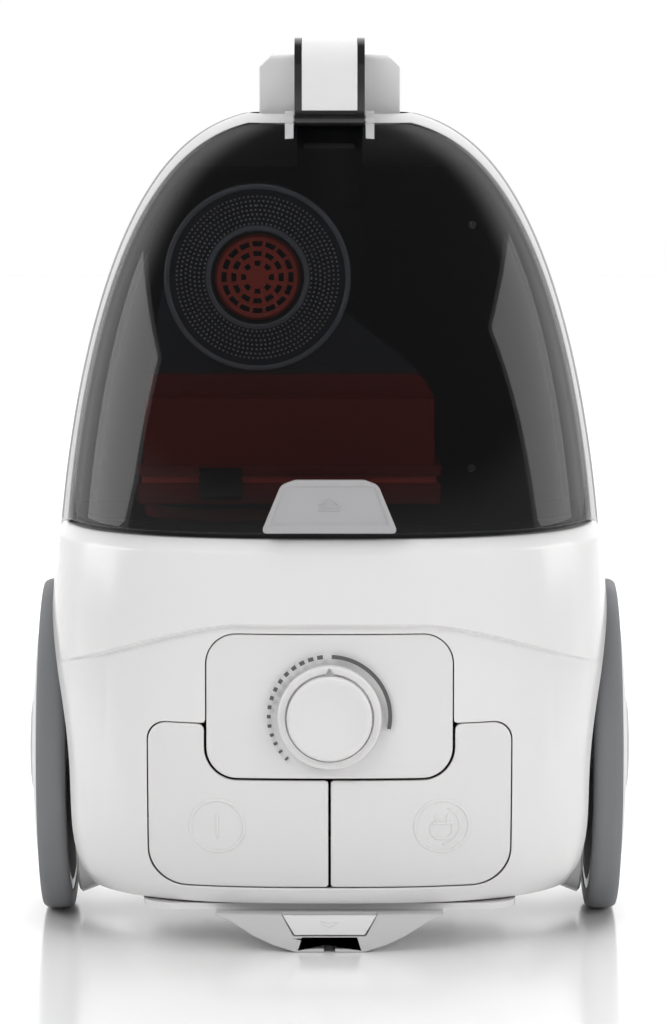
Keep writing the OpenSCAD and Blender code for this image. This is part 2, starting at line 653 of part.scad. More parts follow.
module fan_impeller() color("#c4c6c9") place() at_motor() {
  ring_z(40, 4, fan_z, fan_z + 2);
  ring_z(40, 16, fan_z + 14, fan_z + 16);
  for (a = [0 : 40 : 320]) rotate(a) block([14, -1, fan_z + 1], [39, 1, fan_z + 15]);
}
module motor_bearings() color("#9fa3a8") place() at_motor() {
  ring_z(11, 4 + run_fit, motor_z0 + wall + 4.5, motor_z0 + 13);
  ring_z(11, 4 + run_fit, fan_z - 14, fan_z - 8);
  ring_z(14.8, 11, motor_z0 + wall + 3, motor_z0 + 13);
  difference() {
    ring_z(motor_r - wall - 0.2, 11, fan_z - 14, fan_z - 11);
    for (a = [0 : 60 : 300]) rotate(a) translate([28, 0, fan_z - 20]) cylinder(r = 8, h = 20);
  }
}
module motor_seals() color("#2b2b2b") place() at_motor() {
  ring_z(motor_r - 2, intake_r + 1, motor_z1 + 0.1, motor_z1 + 5.8);
  ring_z(motor_r + 2.5, motor_r + 0.1, motor_z0 + 10, motor_z0 + 18);
}
module motor_filter() color("#6f7276") place() at_motor()
  rod_z(intake_r + 6, lid_z + 1.7, lid_z + 5.4, 0, 0);
module filter_basket() color("#a02a26") place() at_motor() {
  ring_z(intake_r + 9, intake_r + 6.2, lid_z, lid_z + 5.6);
  ring_z(intake_r + 7, intake_r - 2, lid_z, lid_z + 1.5);
}

// ---- cord reel, axis along X ----
reel_x0 = 12;
reel_y = -30;
reel_z = motor_z0 + reel_r + 4;
reel_hub = 22;
module reel_drum() color("#c9c8c4") place()
translate([reel_x0, reel_y, reel_z]) rotate([0, 90, 0]) difference() {
  union() {
    cylinder(r = reel_r, h = 2.5);
    cylinder(r = reel_hub, h = reel_w);
    translate([0, 0, reel_w - 2.5]) cylinder(r = reel_r, h = 2.5);
  }
  translate([0, 0, -1]) cylinder(r = axle_r + run_fit, h = reel_w + 2);
  for (a = [0 : 60 : 300], h = [-1, reel_w - 4]) rotate(a) translate([0, 40, h]) cylinder(r = 9, h = 5);
}
module reel_axle() color("#b0b3b7") place() {
  rod_x(axle_r, reel_x0 - 6, reel_x0 + reel_w + 5, reel_y, reel_z);
  difference() {
    block([reel_x0 - 5, reel_y - 14, reel_z - 46], [reel_x0 - 2.5, reel_y + 14, reel_z + 14]);
    rod_x(axle_r - eps, reel_x0 - 9, reel_x0, reel_y, reel_z);
  }
}
brake_x = pedal_x;
brake_y = stem_y1 + 5;
brake_z = reel_z - 22;
module reel_brake() color("#d8d7d3") place() difference() {
  union() {
    rod_x(5, brake_x - 5, brake_x + 5, brake_y, brake_z);
    along_x(brake_x - 3, brake_x + 3) polygon([[brake_y - 3, brake_z], [brake_y + 3, brake_z],
      [brake_y + 4, pedal_z - 5], [brake_y - 4, pedal_z - 5]]);
    along_x(brake_x - 3, brake_x + 3) polygon([[brake_y, brake_z - 3], [brake_y, brake_z + 3],
      [brake_y + 9, brake_z + 4], [brake_y + 9, brake_z - 2]]);
  }
  rod_x(2 + run_fit, brake_x - 9, brake_x + 9, brake_y, brake_z);
}
module brake_pin() color("#7f8286") place() rod_x(2, brake_x - 8, brake_x + 8, brake_y, brake_z);

gland_r = 7;
gland_x = 60;
gland_z = 40;
module cord_gland() color("#3a3a3a") place() difference() {
  union() {
    rod_y(gland_r - eps, belly_y(gland_x, gland_z) - 9, belly_y(gland_x, gland_z) + 2, gland_x, gland_z);
    rod_y(gland_r + 2, belly_y(gland_x, gland_z) - 12, belly_y(gland_x, gland_z) - 8, gland_x, gland_z);
  }
  rod_y(3.5, belly - 30, belly + 10, gland_x, gland_z);
}

// ---- lid ----
lid_rows = [for (t = rim_rows) lid_row(t)];
function lid_grid(i) = [for (z = lid_rows) [for (u = spread(14)) front_point(u * lid_edge(z), z, i)]];
ear_x = strap_w / 2 + 0.5;
ear_t = 4;
module lid() color([0.12, 0.12, 0.13, 0.75]) place() difference() {
  meshed() {
    slab(lid_grid(0), lid_grid(wall));
    for (s = [0, 1]) mirror([s, 0, 0]) along_x(ear_x, ear_x + ear_t) {
      translate([hinge_y, hinge_z]) circle(r = barrel_r);
      polygon([
        [hinge_y - barrel_r, hinge_z], [hinge_y + barrel_r, hinge_z], [hinge_y + barrel_r, lid_top - 3],
        [hinge_y - 4, lid_top - 8]]);
    }
    tab_eyes();
  }
  rod_x(pin_r + run_fit, -nose_w, nose_w, hinge_y, hinge_z);
  rod_x(tab_pin_r + run_fit, -tab_w, tab_w, tab_pin_y, tab_pin_z);
}
module lid_hinge_pin() color("#b0b3b7") place()
  rod_x(pin_r, -ear_x - ear_t, ear_x + ear_t, hinge_y, hinge_z);

tab_low = lid_z + 1;
tab_top = lid_z + 25.5;
tab_w = 63;
tab_top_w = 32;
tab_y = crown_y(0, lid_z, 0, front_half(lid_z));
tab_t = 5;
tab_pin_r = 1;
tab_pin_y = tab_y - 2.2;
tab_pin_z = tab_low + 2.2;
tab_eye_r = 1.7;
tab_eye_x = 18;
tab_eye_w = 4;
module tab_eyes() for (s = [0, 1]) mirror([s, 0, 0]) {
  rod_x(tab_eye_r, tab_eye_x, tab_eye_x + tab_eye_w, tab_pin_y, tab_pin_z);
  block([tab_eye_x, tab_pin_y, tab_pin_z - tab_eye_r],
        [tab_eye_x + tab_eye_w, tab_y + 2, tab_pin_z + tab_eye_r]);
}
module lid_tab() color("#bdbcbc") place() {
  difference() {
    prism(tab_y - tab_t, tab_y - 0.5) polygon([
      [-tab_w / 2, tab_low], [tab_w / 2, tab_low], [23, tab_top - 4],
      [tab_top_w / 2, tab_top], [-tab_top_w / 2, tab_top], [-23, tab_top - 4]]);
    for (s = [0, 1]) mirror([s, 0, 0])
      block([tab_eye_x - 0.3, tab_pin_y - tab_eye_r - 0.3, tab_low - 1],
        [tab_eye_x + tab_eye_w + 0.3, tab_y, tab_pin_z + tab_eye_r + 1.5]);
  }
  rod_x(tab_pin_r, -tab_eye_x - tab_eye_w - 2, tab_eye_x + tab_eye_w + 2, tab_pin_y, tab_pin_z);
}
seal_half = lid_half - 8;
function seal_grid(i) = [for (z = [lid_z + 0.5, lid_z + 4])
  [for (u = spread(14)) front_point(u * seal_half, z, i)]];
module lid_seal() color("#242424") place() meshed() difference() {
  slab(seal_grid(wall - 0.6), seal_grid(wall + 3));
  slab(lid_grid(-1), lid_grid(wall));
}

// ---- dust container with its cyclone, axis along Y ----
drum_x = -34;
drum_z = lid_z + 115;
drum_y0 = -70;
drum_y1 = hose_y - hose_r - 0.5;      // the duct to the hose passes behind the drum
box_x0 = -box_w / 2 - 19;
box_x1 = box_x0 + box_w;
box_y0 = -92;
box_y1 = 12;
flap_z0 = lid_z + 10;
flap_t = 13;
box_z0 = flap_z0 + flap_t + 0.4;
box_z1 = box_z0 + 36;
module box_outline(i) {
  translate([drum_x, drum_z]) circle(r = drum_r - i);
  polygon([
    [box_x0 + i, box_z0 - 1], [box_x1 - i, box_z0 - 1], [box_x1 - i, box_z1 - i],
    [box_x1 - 8 - i, box_z1 + 12 - i],
    [drum_x + drum_r - i - 3, drum_z - 16], [drum_x + 20, drum_z], [drum_x - drum_r + i, drum_z],
    [box_x0 + i, box_z1]]);
}
module dust_container() color([0.2, 0.2, 0.22, 0.6]) place() difference() {
  union() {
    prism(drum_y0, drum_y1) intersection() { box_outline(0); translate([-200, box_z0]) square(400); }
    block([box_x0, box_y0, box_z0], [box_x1, box_y1, box_z1]);
    block([box_x0 - 3, box_y0 - 3, box_z0], [box_x1 + 3, box_y1 + 3, box_z0 + 5]);
  }
  prism(drum_y0 + box_wall, drum_y1 - box_wall) box_outline(box_wall);
  block([box_x0 + box_wall, box_y0 + box_wall, box_z0 - 1],
        [box_x1 - box_wall, box_y1 - box_wall, box_z1 - box_wall]);
  rod_y(drum_r - 20, drum_y0 - 1, drum_y0 + 5, drum_x, drum_z);
  block([drum_x - 14, drum_y1 - 5, drum_z - 14], [drum_x + 14, drum_y1 + 5, drum_z + 14]);
}
shroud_r = drum_r - box_wall - 6;
module cyclone_shroud() color("#4b4c50") place()
  translate([drum_x, drum_y0 + box_wall + 0.2, drum_z]) rotate([-90, 0, 0])
  difference() {
    cylinder(r1 = shroud_r, r2 = shroud_r - 8, h = 46);
    translate([0, 0, 2]) cylinder(r1 = shroud_r - 2, r2 = shroud_r - 10, h = 50);
    translate([0, 0, -1]) cylinder(r = 21, h = 5);
  }
module shroud_grille() color("#c1342c") place()
  translate([drum_x, drum_y0 + box_wall + 0.4, drum_z]) rotate([-90, 0, 0])
  difference() {
    cylinder(r = 20.5, h = 9);
    translate([0, 0, 2]) cylinder(r = 18.5, h = 9);
    for (a = [0 : 30 : 330]) rotate(a) translate([12, -1.5, -1]) cube([5, 3, 5]);
    for (a = [0 : 60 : 300]) rotate(a) translate([5, -1.2, -1]) cube([4, 2.4, 5]);
  }
module container_flap() color("#9c2723") place() difference() {
  block([box_x0 - 3, box_y0 - 3, flap_z0], [box_x1 + 3, box_y1 + 3, flap_z0 + flap_t - 3]);
  block([box_x0 + 1, box_y0 + 1, flap_z0 + 3], [box_x1 - 1, box_y1 - 1, flap_z0 + flap_t]);
}
module container_clip() color("#2a2a2c") place()
  block([-61, box_y0 - 6, flap_z0 + 3], [-41, box_y0 - 3.2, box_z0 + 4]);
module container_seal() color("#7d1f1c") place() difference() {
  block([box_x0 - 1, box_y0 - 1, flap_z0 + flap_t - 3], [box_x1 + 1, box_y1 + 1, flap_z0 + flap_t + 0.4]);
  block([box_x0 + 3, box_y0 + 3, flap_z0], [box_x1 - 3, box_y1 - 3, box_z0 + 4]);
}
module inlet_duct() color("#404144") place() difference() {
  union() {
    rod_z(hose_r - 1, drum_z + 20, nose_low - 0.2, 0, hose_y);
    block([drum_x - 16, drum_y1 + 0.2, drum_z - 16], [hose_r - 1, tub_y - 0.5, drum_z + 30]);
  }
  rod_z(hose_r - 3, drum_z + 10, nose_z, 0, hose_y);
  block([drum_x - 14, drum_y1 + 2.2, drum_z - 14], [hose_r - 3, tub_y - 2.5, drum_z + 28]);
  block([drum_x - 14, drum_y1 - 1, drum_z - 14], [drum_x + 14, tub_y - 5, drum_z + 14]);
}

// ---- running gear ----
module wheel_side(side)
  mirror([side, 0, 0]) translate([wheel_in, 0, wheel_r]) rotate([0, 90, 0]) children();
function dome_t(r) = tread_w + dome_h * (1 - pow(r / (wheel_r - tyre_h), 2));
disc_r = wheel_r - tyre_h - 0.1;
module wheel_disc(side) wheel_side(side) rotate_extrude($fn = 96) polygon(concat(
  [[axle_r + run_fit, 0], [13, 0], [13, tread_w - 2]],
  [for (t = steps(5)) let (r = 13 + (disc_r - 5 - 13) * t) [r, dome_t(r) - 3.5]],
  [[disc_r - 5, 1], [disc_r, 1]],
  [for (t = steps(8)) let (r = disc_r * (1 - t)) [r, dome_t(r)]],
  [[0, tread_w], [axle_r + run_fit, tread_w]]));
module tyre(side) wheel_side(side) rotate_extrude($fn = 96) polygon([
  [wheel_r - tyre_h, 0.5], [wheel_r - 1.5, 0.5], [wheel_r, 2], [wheel_r, tread_w - 2],
  [wheel_r - 1.5, tread_w],
  [wheel_r - tyre_h, tread_w]]);
module wheel_disc_left() color("#a5a5a5") place() wheel_disc(1);
module wheel_disc_right() color("#a5a5a5") place() wheel_disc(0);
module tyre_left() color("#6f6f6f") place() tyre(1);
module tyre_right() color("#6f6f6f") place() tyre(0);
module axle_stubs() color("#b0b3b7") place() for (s = [0, 1]) mirror([s, 0, 0])
  rod_x(axle_r, well_x - 4, wheel_in + tread_w - 0.5, 0, wheel_r);

caster_pin_r = 2;
fork_t = 2.5;
fork_x = caster_w / 2 + 0.6;          // inner face of a fork arm
fork_y = swivel_y1 + 0.4;
module caster_fork() color("#4a4a4c") place() difference() {
  union() {
    rod_y(swivel_r, swivel_y0 + 1, fork_y + 1, 0, swivel_z);
    rod_y(fork_r, fork_y, fork_y + fork_t, 0, swivel_z);
    for (s = [0, 1]) mirror([s, 0, 0]) along_x(fork_x, fork_x + fork_t)
      polygon([[fork_y, swivel_z - 6], [fork_y, swivel_z + 6], [caster_axle_y + 3, caster_z + 4],
        [caster_axle_y + 3, caster_z - 4]]);
  }
  rod_x(caster_pin_r, -20, 20, caster_axle_y, caster_z);
}
module caster_wheel() color("#5a5a5c") place() difference() {
  rod_x(caster_r, -caster_w / 2, caster_w / 2, caster_axle_y, caster_z);
  rod_x(caster_pin_r + run_fit, -20, 20, caster_axle_y, caster_z);
}
module caster_pin() color("#b0b3b7") place()
  rod_x(caster_pin_r, -fork_x - fork_t, fork_x + fork_t, caster_axle_y, caster_z);

base_shell();
side_band();
rim_frame();
nose_block();
handle_frame();
handle_cover();
rear_cover();
compartment_tub();
case_screws();
dial_panel();
dial_scale();
dial_knob();
dial_shaft();
control_board();
power_pedal();
rewind_pedal();
power_switch();
pedal_guides();
tail_frame();
exhaust_cover();
parking_bracket();
exhaust_latch();
filter_frame();
hepa_filter();
motor_housing();
motor_stator();
motor_rotor();
motor_shaft();
fan_impeller();
motor_bearings();
motor_seals();
motor_filter();
filter_basket();
reel_drum();
reel_axle();
reel_brake();
brake_pin();
cord_gland();
lid();
lid_hinge_pin();
lid_tab();
lid_seal();
dust_container();
cyclone_shroud();
shroud_grille();
container_flap();
container_clip();
container_seal();
inlet_duct();
wheel_disc_left();
wheel_disc_right();
tyre_left();
tyre_right();
axle_stubs();
caster_fork();
caster_wheel();
caster_pin();
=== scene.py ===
"""Looks of a bagless canister vacuum cleaner, parked upright on its tail.

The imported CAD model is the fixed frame. Each sub-assembly is a class that builds its visible shells over
that frame and dresses them. Shapes are worked out in millimetres about the wheel axle, with +Z up to the
nose and -Y towards the crown, and are moved to the frame's metres when they become meshes.
"""

import json
import logging
import math
from dataclasses import dataclass, field
from enum import Enum
from typing import Callable, Optional, Sequence

import bmesh
import bpy
import numpy as np
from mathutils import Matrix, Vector

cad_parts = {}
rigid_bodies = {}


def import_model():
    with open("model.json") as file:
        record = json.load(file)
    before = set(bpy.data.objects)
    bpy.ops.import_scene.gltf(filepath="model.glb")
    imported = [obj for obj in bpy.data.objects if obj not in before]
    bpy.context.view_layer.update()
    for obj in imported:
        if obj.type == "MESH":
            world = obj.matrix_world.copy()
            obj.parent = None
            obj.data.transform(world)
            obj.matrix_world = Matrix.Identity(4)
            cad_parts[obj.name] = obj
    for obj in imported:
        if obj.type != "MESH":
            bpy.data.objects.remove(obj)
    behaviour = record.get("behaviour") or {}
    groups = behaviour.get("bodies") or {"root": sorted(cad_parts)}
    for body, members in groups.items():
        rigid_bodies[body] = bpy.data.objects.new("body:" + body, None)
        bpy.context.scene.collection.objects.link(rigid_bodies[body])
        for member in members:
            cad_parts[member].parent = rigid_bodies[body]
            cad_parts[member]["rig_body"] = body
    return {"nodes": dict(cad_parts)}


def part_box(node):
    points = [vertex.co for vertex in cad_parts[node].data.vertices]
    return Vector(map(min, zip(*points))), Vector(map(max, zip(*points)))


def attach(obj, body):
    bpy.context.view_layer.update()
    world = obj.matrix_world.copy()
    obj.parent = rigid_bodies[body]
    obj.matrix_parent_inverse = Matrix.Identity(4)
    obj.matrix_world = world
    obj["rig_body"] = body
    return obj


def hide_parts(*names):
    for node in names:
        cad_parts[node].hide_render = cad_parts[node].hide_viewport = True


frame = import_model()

log = logging.getLogger("cleaner")
Array = np.ndarray
Surface = Callable[[Array, Array, Array], Array]

MM = 0.001
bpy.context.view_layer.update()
TYRE_LOW, TYRE_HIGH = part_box("tyre_left")
AXLE_Y = (TYRE_LOW.y + TYRE_HIGH.y) / 2 / MM
WELD = 1e-6
SMOOTH_DEG = 32.0
SIDES = ((-1, "left"), (1, "right"))
WHITE = (1.0, 1.0, 1.0, 1.0)

# The controls' outline: half widths and heights, in millimetres
PANEL_HALF = 57.0
PANEL_TOP = 152.0
PEDAL_HALF = 84.5
PEDAL_LOW = 31.0
PEDAL_TOP = 110.0


# ---- meshes ----

def put(name: str, data: bpy.types.ID) -> bpy.types.Object:
    """Adds an object that holds a mesh, light or camera to the scene."""
    made = bpy.data.objects.new(name, data)
    bpy.context.scene.collection.objects.link(made)
    return made


def grid_faces(rows: int, cols: int, start: int = 0, wrap: bool = False) -> Array:
    """Quads between neighbours of a grid of points numbered row by row.

    Args:
        rows: number of rows.
        cols: number of columns.
        start: number of the first point.
        wrap: whether the last column joins the first.

    Returns:
        The corner numbers of each quad, one quad a line.
    """
    i, j = np.meshgrid(np.arange(rows - 1), np.arange(cols if wrap else cols - 1), indexing="ij")
    a = i * cols + j
    b = i * cols + (j + 1) % cols
    return np.stack([a, b, b + cols, a + cols], -1).reshape(-1, 4) + start


def add_mesh(name: str, points: Array, faces: Array, smooth: float = SMOOTH_DEG) -> bpy.types.Object:
    """Makes an object of one closed mesh, welded and facing outwards.

    Args:
        name: the piece's name.
        points: corners in millimetres about the wheel axle.
        faces: corner numbers of each face.
        smooth: edges sharper than this many degrees stay crisp.

    Returns:
        The new object, at the origin.
    """
    mesh = bpy.data.meshes.new(name)
    mesh.from_pydata(((points + [0.0, AXLE_Y, 0.0]) * MM).tolist(), [], faces.tolist())
    weld(mesh)
    soften(mesh, smooth)
    return put(name, mesh)


def weld(mesh: bpy.types.Mesh) -> None:
    """Merges doubled corners of a mesh and turns its faces outwards."""
    shape = bmesh.new()
    shape.from_mesh(mesh)
    bmesh.ops.remove_doubles(shape, verts=shape.verts, dist=WELD)
    bmesh.ops.recalc_face_normals(shape, faces=shape.faces)
    shape.to_mesh(mesh)
    shape.free()


def soften(mesh: bpy.types.Mesh, angle: float) -> None:
    """Shades a mesh smooth, apart from edges sharper than an angle in degrees."""
    mesh.shade_smooth()
    mesh.set_sharp_from_angle(angle=math.radians(angle))


def slab(name: str, outer: Array, inner: Array) -> bpy.types.Object:
    """A closed plate between two grids of points with the same rows and columns.

    Args:
        name: the piece's name.
        outer: points of the outer face, rows by columns by 3.
        inner: points of the inner face.

    Returns:
        The new object.
    """
    rows, cols = outer.shape[:2]
    count = rows * cols
    ids = np.arange(count).reshape(rows, cols)
    ring = np.concatenate([ids[0, :-1], ids[:-1, -1], ids[-1, :0:-1], ids[:0:-1, 0]])
    after = np.roll(ring, -1)
    walls = np.stack([ring, ring + count, after + count, after], -1)
    faces = np.concatenate([grid_faces(rows, cols), grid_faces(rows, cols, count)[:, ::-1], walls])
    return add_mesh(name, np.concatenate([outer.reshape(-1, 3), inner.reshape(-1, 3)]), faces)


def tube(name: str, rings: Array, smooth: float = SMOOTH_DEG) -> bpy.types.Object:
    """A closed surface through a stack of rings, whose first and last ring are single points.

    Args:
        name: the piece's name.
        rings: points, rings by points of a ring by 3.
        smooth: edges sharper than this many degrees stay crisp.

    Returns:
        The new object.
    """
    return add_mesh(name, rings.reshape(-1, 3), grid_faces(rings.shape[0], rings.shape[1], wrap=True), smooth)


def lathe(name: str, profile: Sequence[tuple[float, float]], middle: Sequence[float], axis: str = "x",
          segments: int = 128, smooth: float = SMOOTH_DEG) -> bpy.types.Object:
    """Turns a closed profile about an axis: each point keeps its radius and its place along the axis.

    Args:
        name: the piece's name.
        profile: (radius, place along the axis) of each point, in millimetres.
        middle: a point of the axis.
        axis: "x", "y" or "z".
        segments: points round the axis.
        smooth: edges sharper than this many degrees stay crisp.

    Returns:
        The new object.
    """
    line = np.array(list(profile) + [profile[0]], float)
    turn = np.linspace(0, 2 * np.pi, segments, endpoint=False)
    along = np.repeat(line[:, 1:2], segments, 1)
    first = line[:, :1] * np.cos(turn)
    second = line[:, :1] * np.sin(turn)
    order = {"x": (along, first, second), "y": (second, along, first), "z": (first, second, along)}[axis]
    return tube(name, np.stack(order, -1) + np.array(middle, float), smooth)


def fillet_outline(corners: Sequence[tuple[float, float, float]], spacing: float = 1.5) -> Array:
    """A closed flat outline whose corners are arcs tangent to both sides.

    Args:
        corners: (x, z, radius) of each corner, in order.
        spacing: distance between neighbouring points, in millimetres.

    Returns:
        The outline's points, evenly spaced.
    """
    spots = np.array([(x, z) for x, z, _ in corners], float)
    parts = []
    for k, (_, _, radius) in enumerate(corners):
        here = spots[k]
        back = spots[k - 1] - here
        on = spots[(k + 1) % len(spots)] - here
        back, on = back / np.linalg.norm(back), on / np.linalg.norm(on)
        half = math.acos(float(np.clip(back @ on, -1, 1))) / 2
        centre = here + (back + on) / np.linalg.norm(back + on) * radius / math.sin(half)
        start = here + back * radius / math.tan(half) - centre
        end = here + on * radius / math.tan(half) - centre
        share = np.linspace(0, 1, 17)[:, None]
        bow = start * (1 - share) + end * share
        parts.append(centre + bow / np.linalg.norm(bow, axis=1, keepdims=True) * radius)
    return evenly(np.concatenate(parts + [parts[0][:1]]), spacing, closed=True)


def strokes(corners: Sequence[tuple[float, float]], spacing: float = 0.5) -> Array:
    """Evenly spaced points along straight strokes from corner to corner."""
    return evenly(np.array(corners, float), spacing, closed=False)


def evenly(line: Array, spacing: float, closed: bool) -> Array:
    """Evenly spaced points along a line.

    Args:
        line: the line's points in x and z.
        spacing: distance between neighbouring points, in millimetres.
        closed: whether the line ends where it starts, so that its last point is left out.

    Returns:
        The new points.
    """
    run = np.concatenate([[0], np.cumsum(np.linalg.norm(np.diff(line, axis=0), axis=1))])
    count = int(run[-1] / spacing)
    places = np.linspace(0, run[-1], count if closed else max(4, count), endpoint=not closed)
    return np.stack([np.interp(places, run, line[:, 0]), np.interp(places, run, line[:, 1])], -1)


def grown(outline: Array, by: Array) -> Array:
    """An outline moved outwards by a distance, ring by ring.

    Args:
        outline: the points of a closed outline.
        by: distance of each ring.

    Returns:
        The moved outlines, rings by points by 2.
    """
    run = np.roll(outline, -1, 0) - np.roll(outline, 1, 0)
    run /= np.linalg.norm(run, axis=1, keepdims=True)
    area = np.sum(outline[:, 0] * np.roll(outline[:, 1], -1) - outline[:, 1] * np.roll(outline[:, 0], -1))
    out = np.stack([run[:, 1], -run[:, 0]], -1) * np.sign(area)
    return outline[None] + out[None] * np.asarray(by, float)[:, None, None]


def round_over(radius: float, steps: int = 5) -> tuple[Array, Array]:
    """Distance in from an edge and depth below the face along a quarter-round edge."""
    angle = np.linspace(0, np.pi / 2, steps)
    return radius * (1 - np.cos(angle)), radius * (1 - np.sin(angle))


def pad(name: str, surface: Surface, outline: Array, middle: tuple[float, float], ease: float, thick: float,
        sink: Optional[Callable[[Array, Array], Array]] = None, rings: int = 26) -> bpy.types.Object:
    """A plate that follows a surface inside an outline and has a rounded outer edge.

    Rings shrink from the outline to its middle; near the edge the depth follows a quarter circle.

    Args:
        name: the piece's name.
        surface: gives points from x, z and depth.
        outline: the plate's outline in x and z.
        middle: a point that sees the whole outline.
        ease: radius of the rounded edge.
        thick: thickness of the plate.
        sink: extra depth of the face at x and z.
        rings: number of rings inside the edge.

    Returns:
        The new object.
    """
    inward, depth = round_over(ease)
    edge = grown(outline, -inward)
    share = np.linspace(1, 0, rings)[1:, None, None]
    spot = np.array(middle)
    inside = spot + share * (edge[-1] - spot)
    face = np.concatenate([edge, inside])
    drop = np.concatenate([np.repeat(depth[:, None], len(outline), 1), np.zeros(inside.shape[:2])])
    if sink is not None:
        drop = drop + sink(face[..., 0], face[..., 1])
    back = np.concatenate([outline[None], inside])[::-1]
    top = surface(face[..., 0], face[..., 1], drop)
    low = surface(back[..., 0], back[..., 1], np.full(back.shape[:2], thick))
    return tube(name, np.concatenate([low, top]))


def pad_cutter(surface: Surface, outline: Array, middle: tuple[float, float], ease: float,
               deep: float = 9.0) -> bpy.types.Object:
    """A solid that cuts an opening with a rounded rim into a shell: its side flares out at the skin."""
    inward, depth = round_over(ease)
    spread = np.concatenate([[0, 0], inward, [ease + 2.0]])
    drop = np.concatenate([[deep, ease + 0.5], depth, [-3.0]])
    rings = grown(outline, spread)
    spot = np.broadcast_to(np.array(middle), rings[:1].shape)
    share = np.linspace(0, 1, 12)[1:-1, None, None]
    bottom = spot + share * (rings[:1] - spot)
    crown = (spot + share * (rings[-1:] - spot))[::-1]
    whole = np.concatenate([spot, bottom, rings, crown, spot])
    depths = np.concatenate([np.full(len(bottom) + 1, deep), drop, np.full(len(crown) + 1, drop[-1])])
    return tube("cutter", surface(whole[..., 0], whole[..., 1], np.repeat(depths[:, None], len(outline), 1)))


def bead(name: str, surface: Surface, path: Array, width: float, height: float,
         closed: bool = False) -> bpy.types.Object:
    """A low raised line along a path on a surface, with a flattened round section.

    Args:
        name: the piece's name.
        surface: gives points from x, z and depth.
        path: the line's points in x and z.
        width: full width of the line.
        height: how far it stands proud, and how far it is sunk.
        closed: whether the line's end meets its start.

    Returns:
        The new object.
    """
    run = np.roll(path, -1, 0) - np.roll(path, 1, 0) if closed else np.gradient(path, axis=0)
    run /= np.linalg.norm(run, axis=1, keepdims=True)
    side = np.stack([run[:, 1], -run[:, 0]], -1)
    share = np.ones(len(path))
    if not closed:
        share[[0, -1]] = 0.0
        share[[1, -2]] = 0.75
    angle = np.linspace(0, 2 * np.pi, 10, endpoint=False)
    across = width / 2 * np.cos(angle)[None, :, None] * share[:, None, None]
    spots = path[:, None, :] + side[:, None, :] * across
    depth = -height * np.sin(angle)[None, :] * share[:, None]
    points = surface(spots[..., 0], spots[..., 1], depth)
    if closed:
        points = np.concatenate([points, points[:1]])
    return tube(name, points, 60.0)


def carve(piece: bpy.types.Object, *cutters: bpy.types.Object,
          smooth: float = SMOOTH_DEG) -> bpy.types.Object:
    """Cuts solids out of a piece and takes the cutters away.

    Args:
        piece: the closed piece to cut.
        cutters: closed solids to cut with.
        smooth: edges sharper than this many degrees stay crisp.

    Returns:
        The same piece, with its new mesh.
    """
    for cutter in cutters:
        cut = piece.modifiers.new("cut", "BOOLEAN")
        cut.operation = "DIFFERENCE"
        cut.solver = "EXACT"
        cut.object = cutter
    settle(piece, smooth)
    for cutter in cutters:
        bpy.data.objects.remove(cutter)
    return piece


def settle(piece: bpy.types.Object, smooth: float = SMOOTH_DEG) -> bpy.types.Object:
    """Turns a piece's modifiers into its mesh."""
    bpy.context.view_layer.update()
    whole = piece.evaluated_get(bpy.context.evaluated_depsgraph_get())
    mesh = bpy.data.meshes.new_from_object(whole)
    piece.modifiers.clear()
    piece.data = mesh
    soften(mesh, smooth)
    return piece


def eased_copy(node: str, name: str, radius: float, finish: bpy.types.Material) -> bpy.types.Object:
    """A CAD node's shape with its sharp edges rounded, in place of that node.

    Args:
        node: the CAD node.
        name: the new piece's name.
        radius: radius of the rounded edges, in millimetres.
        finish: the material.

    Returns:
        The new piece, riding where the node rides.
    """
    source = frame["nodes"][node]
    mesh = source.data.copy()
    mesh.name = name
    shape = bmesh.new()
    shape.from_mesh(mesh)
    bmesh.ops.remove_doubles(shape, verts=shape.verts, dist=2 * WELD)
    flat = math.radians(1.0)
    bmesh.ops.dissolve_limit(shape, angle_limit=flat, verts=shape.verts, edges=shape.edges)
    shape.to_mesh(mesh)
    shape.free()
    piece = put(name, mesh)
    ease = piece.modifiers.new("ease", "BEVEL")
    ease.width = radius * MM
    ease.segments = 3
    ease.limit_method = "ANGLE"
    ease.angle_limit = math.radians(38)
    settle(piece, 40.0)
    return place(piece, finish, source["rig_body"], node)


def place(piece: bpy.types.Object, finish: bpy.types.Material, body: str, *nodes: str) -> bpy.types.Object:
    """Dresses a piece, makes it ride on a body and stand for CAD nodes.

    Args:
        piece: the piece.
        finish: its material.
        body: the CAD body that it moves with.
        nodes: CAD nodes that it stands for.

    Returns:
        The same piece.
    """
    piece.data.materials.clear()
    piece.data.materials.append(finish)
    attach(piece, body)
    if nodes:
        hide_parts(*nodes)
    log.info("%s on %s, %d faces", piece.name, body, len(piece.data.polygons))
    return piece


def dress(finish: bpy.types.Material, *nodes: str) -> None:
    """Gives CAD nodes that stay visible their material."""
    for node in nodes:
        held = frame["nodes"][node].data.materials
        held.clear()
        held.append(finish)


# ---- finishes ----

def linear(code: str) -> tuple[float, float, float, float]:
    """Linear colour of an sRGB hex code such as "a0b1c2"."""
    shares = [int(code[k:k + 2], 16) / 255 for k in (0, 2, 4)]
    red, green, blue = [c / 12.92 if c <= 0.04045 else ((c + 0.055) / 1.055) ** 2.4 for c in shares]
    return red, green, blue, 1.0


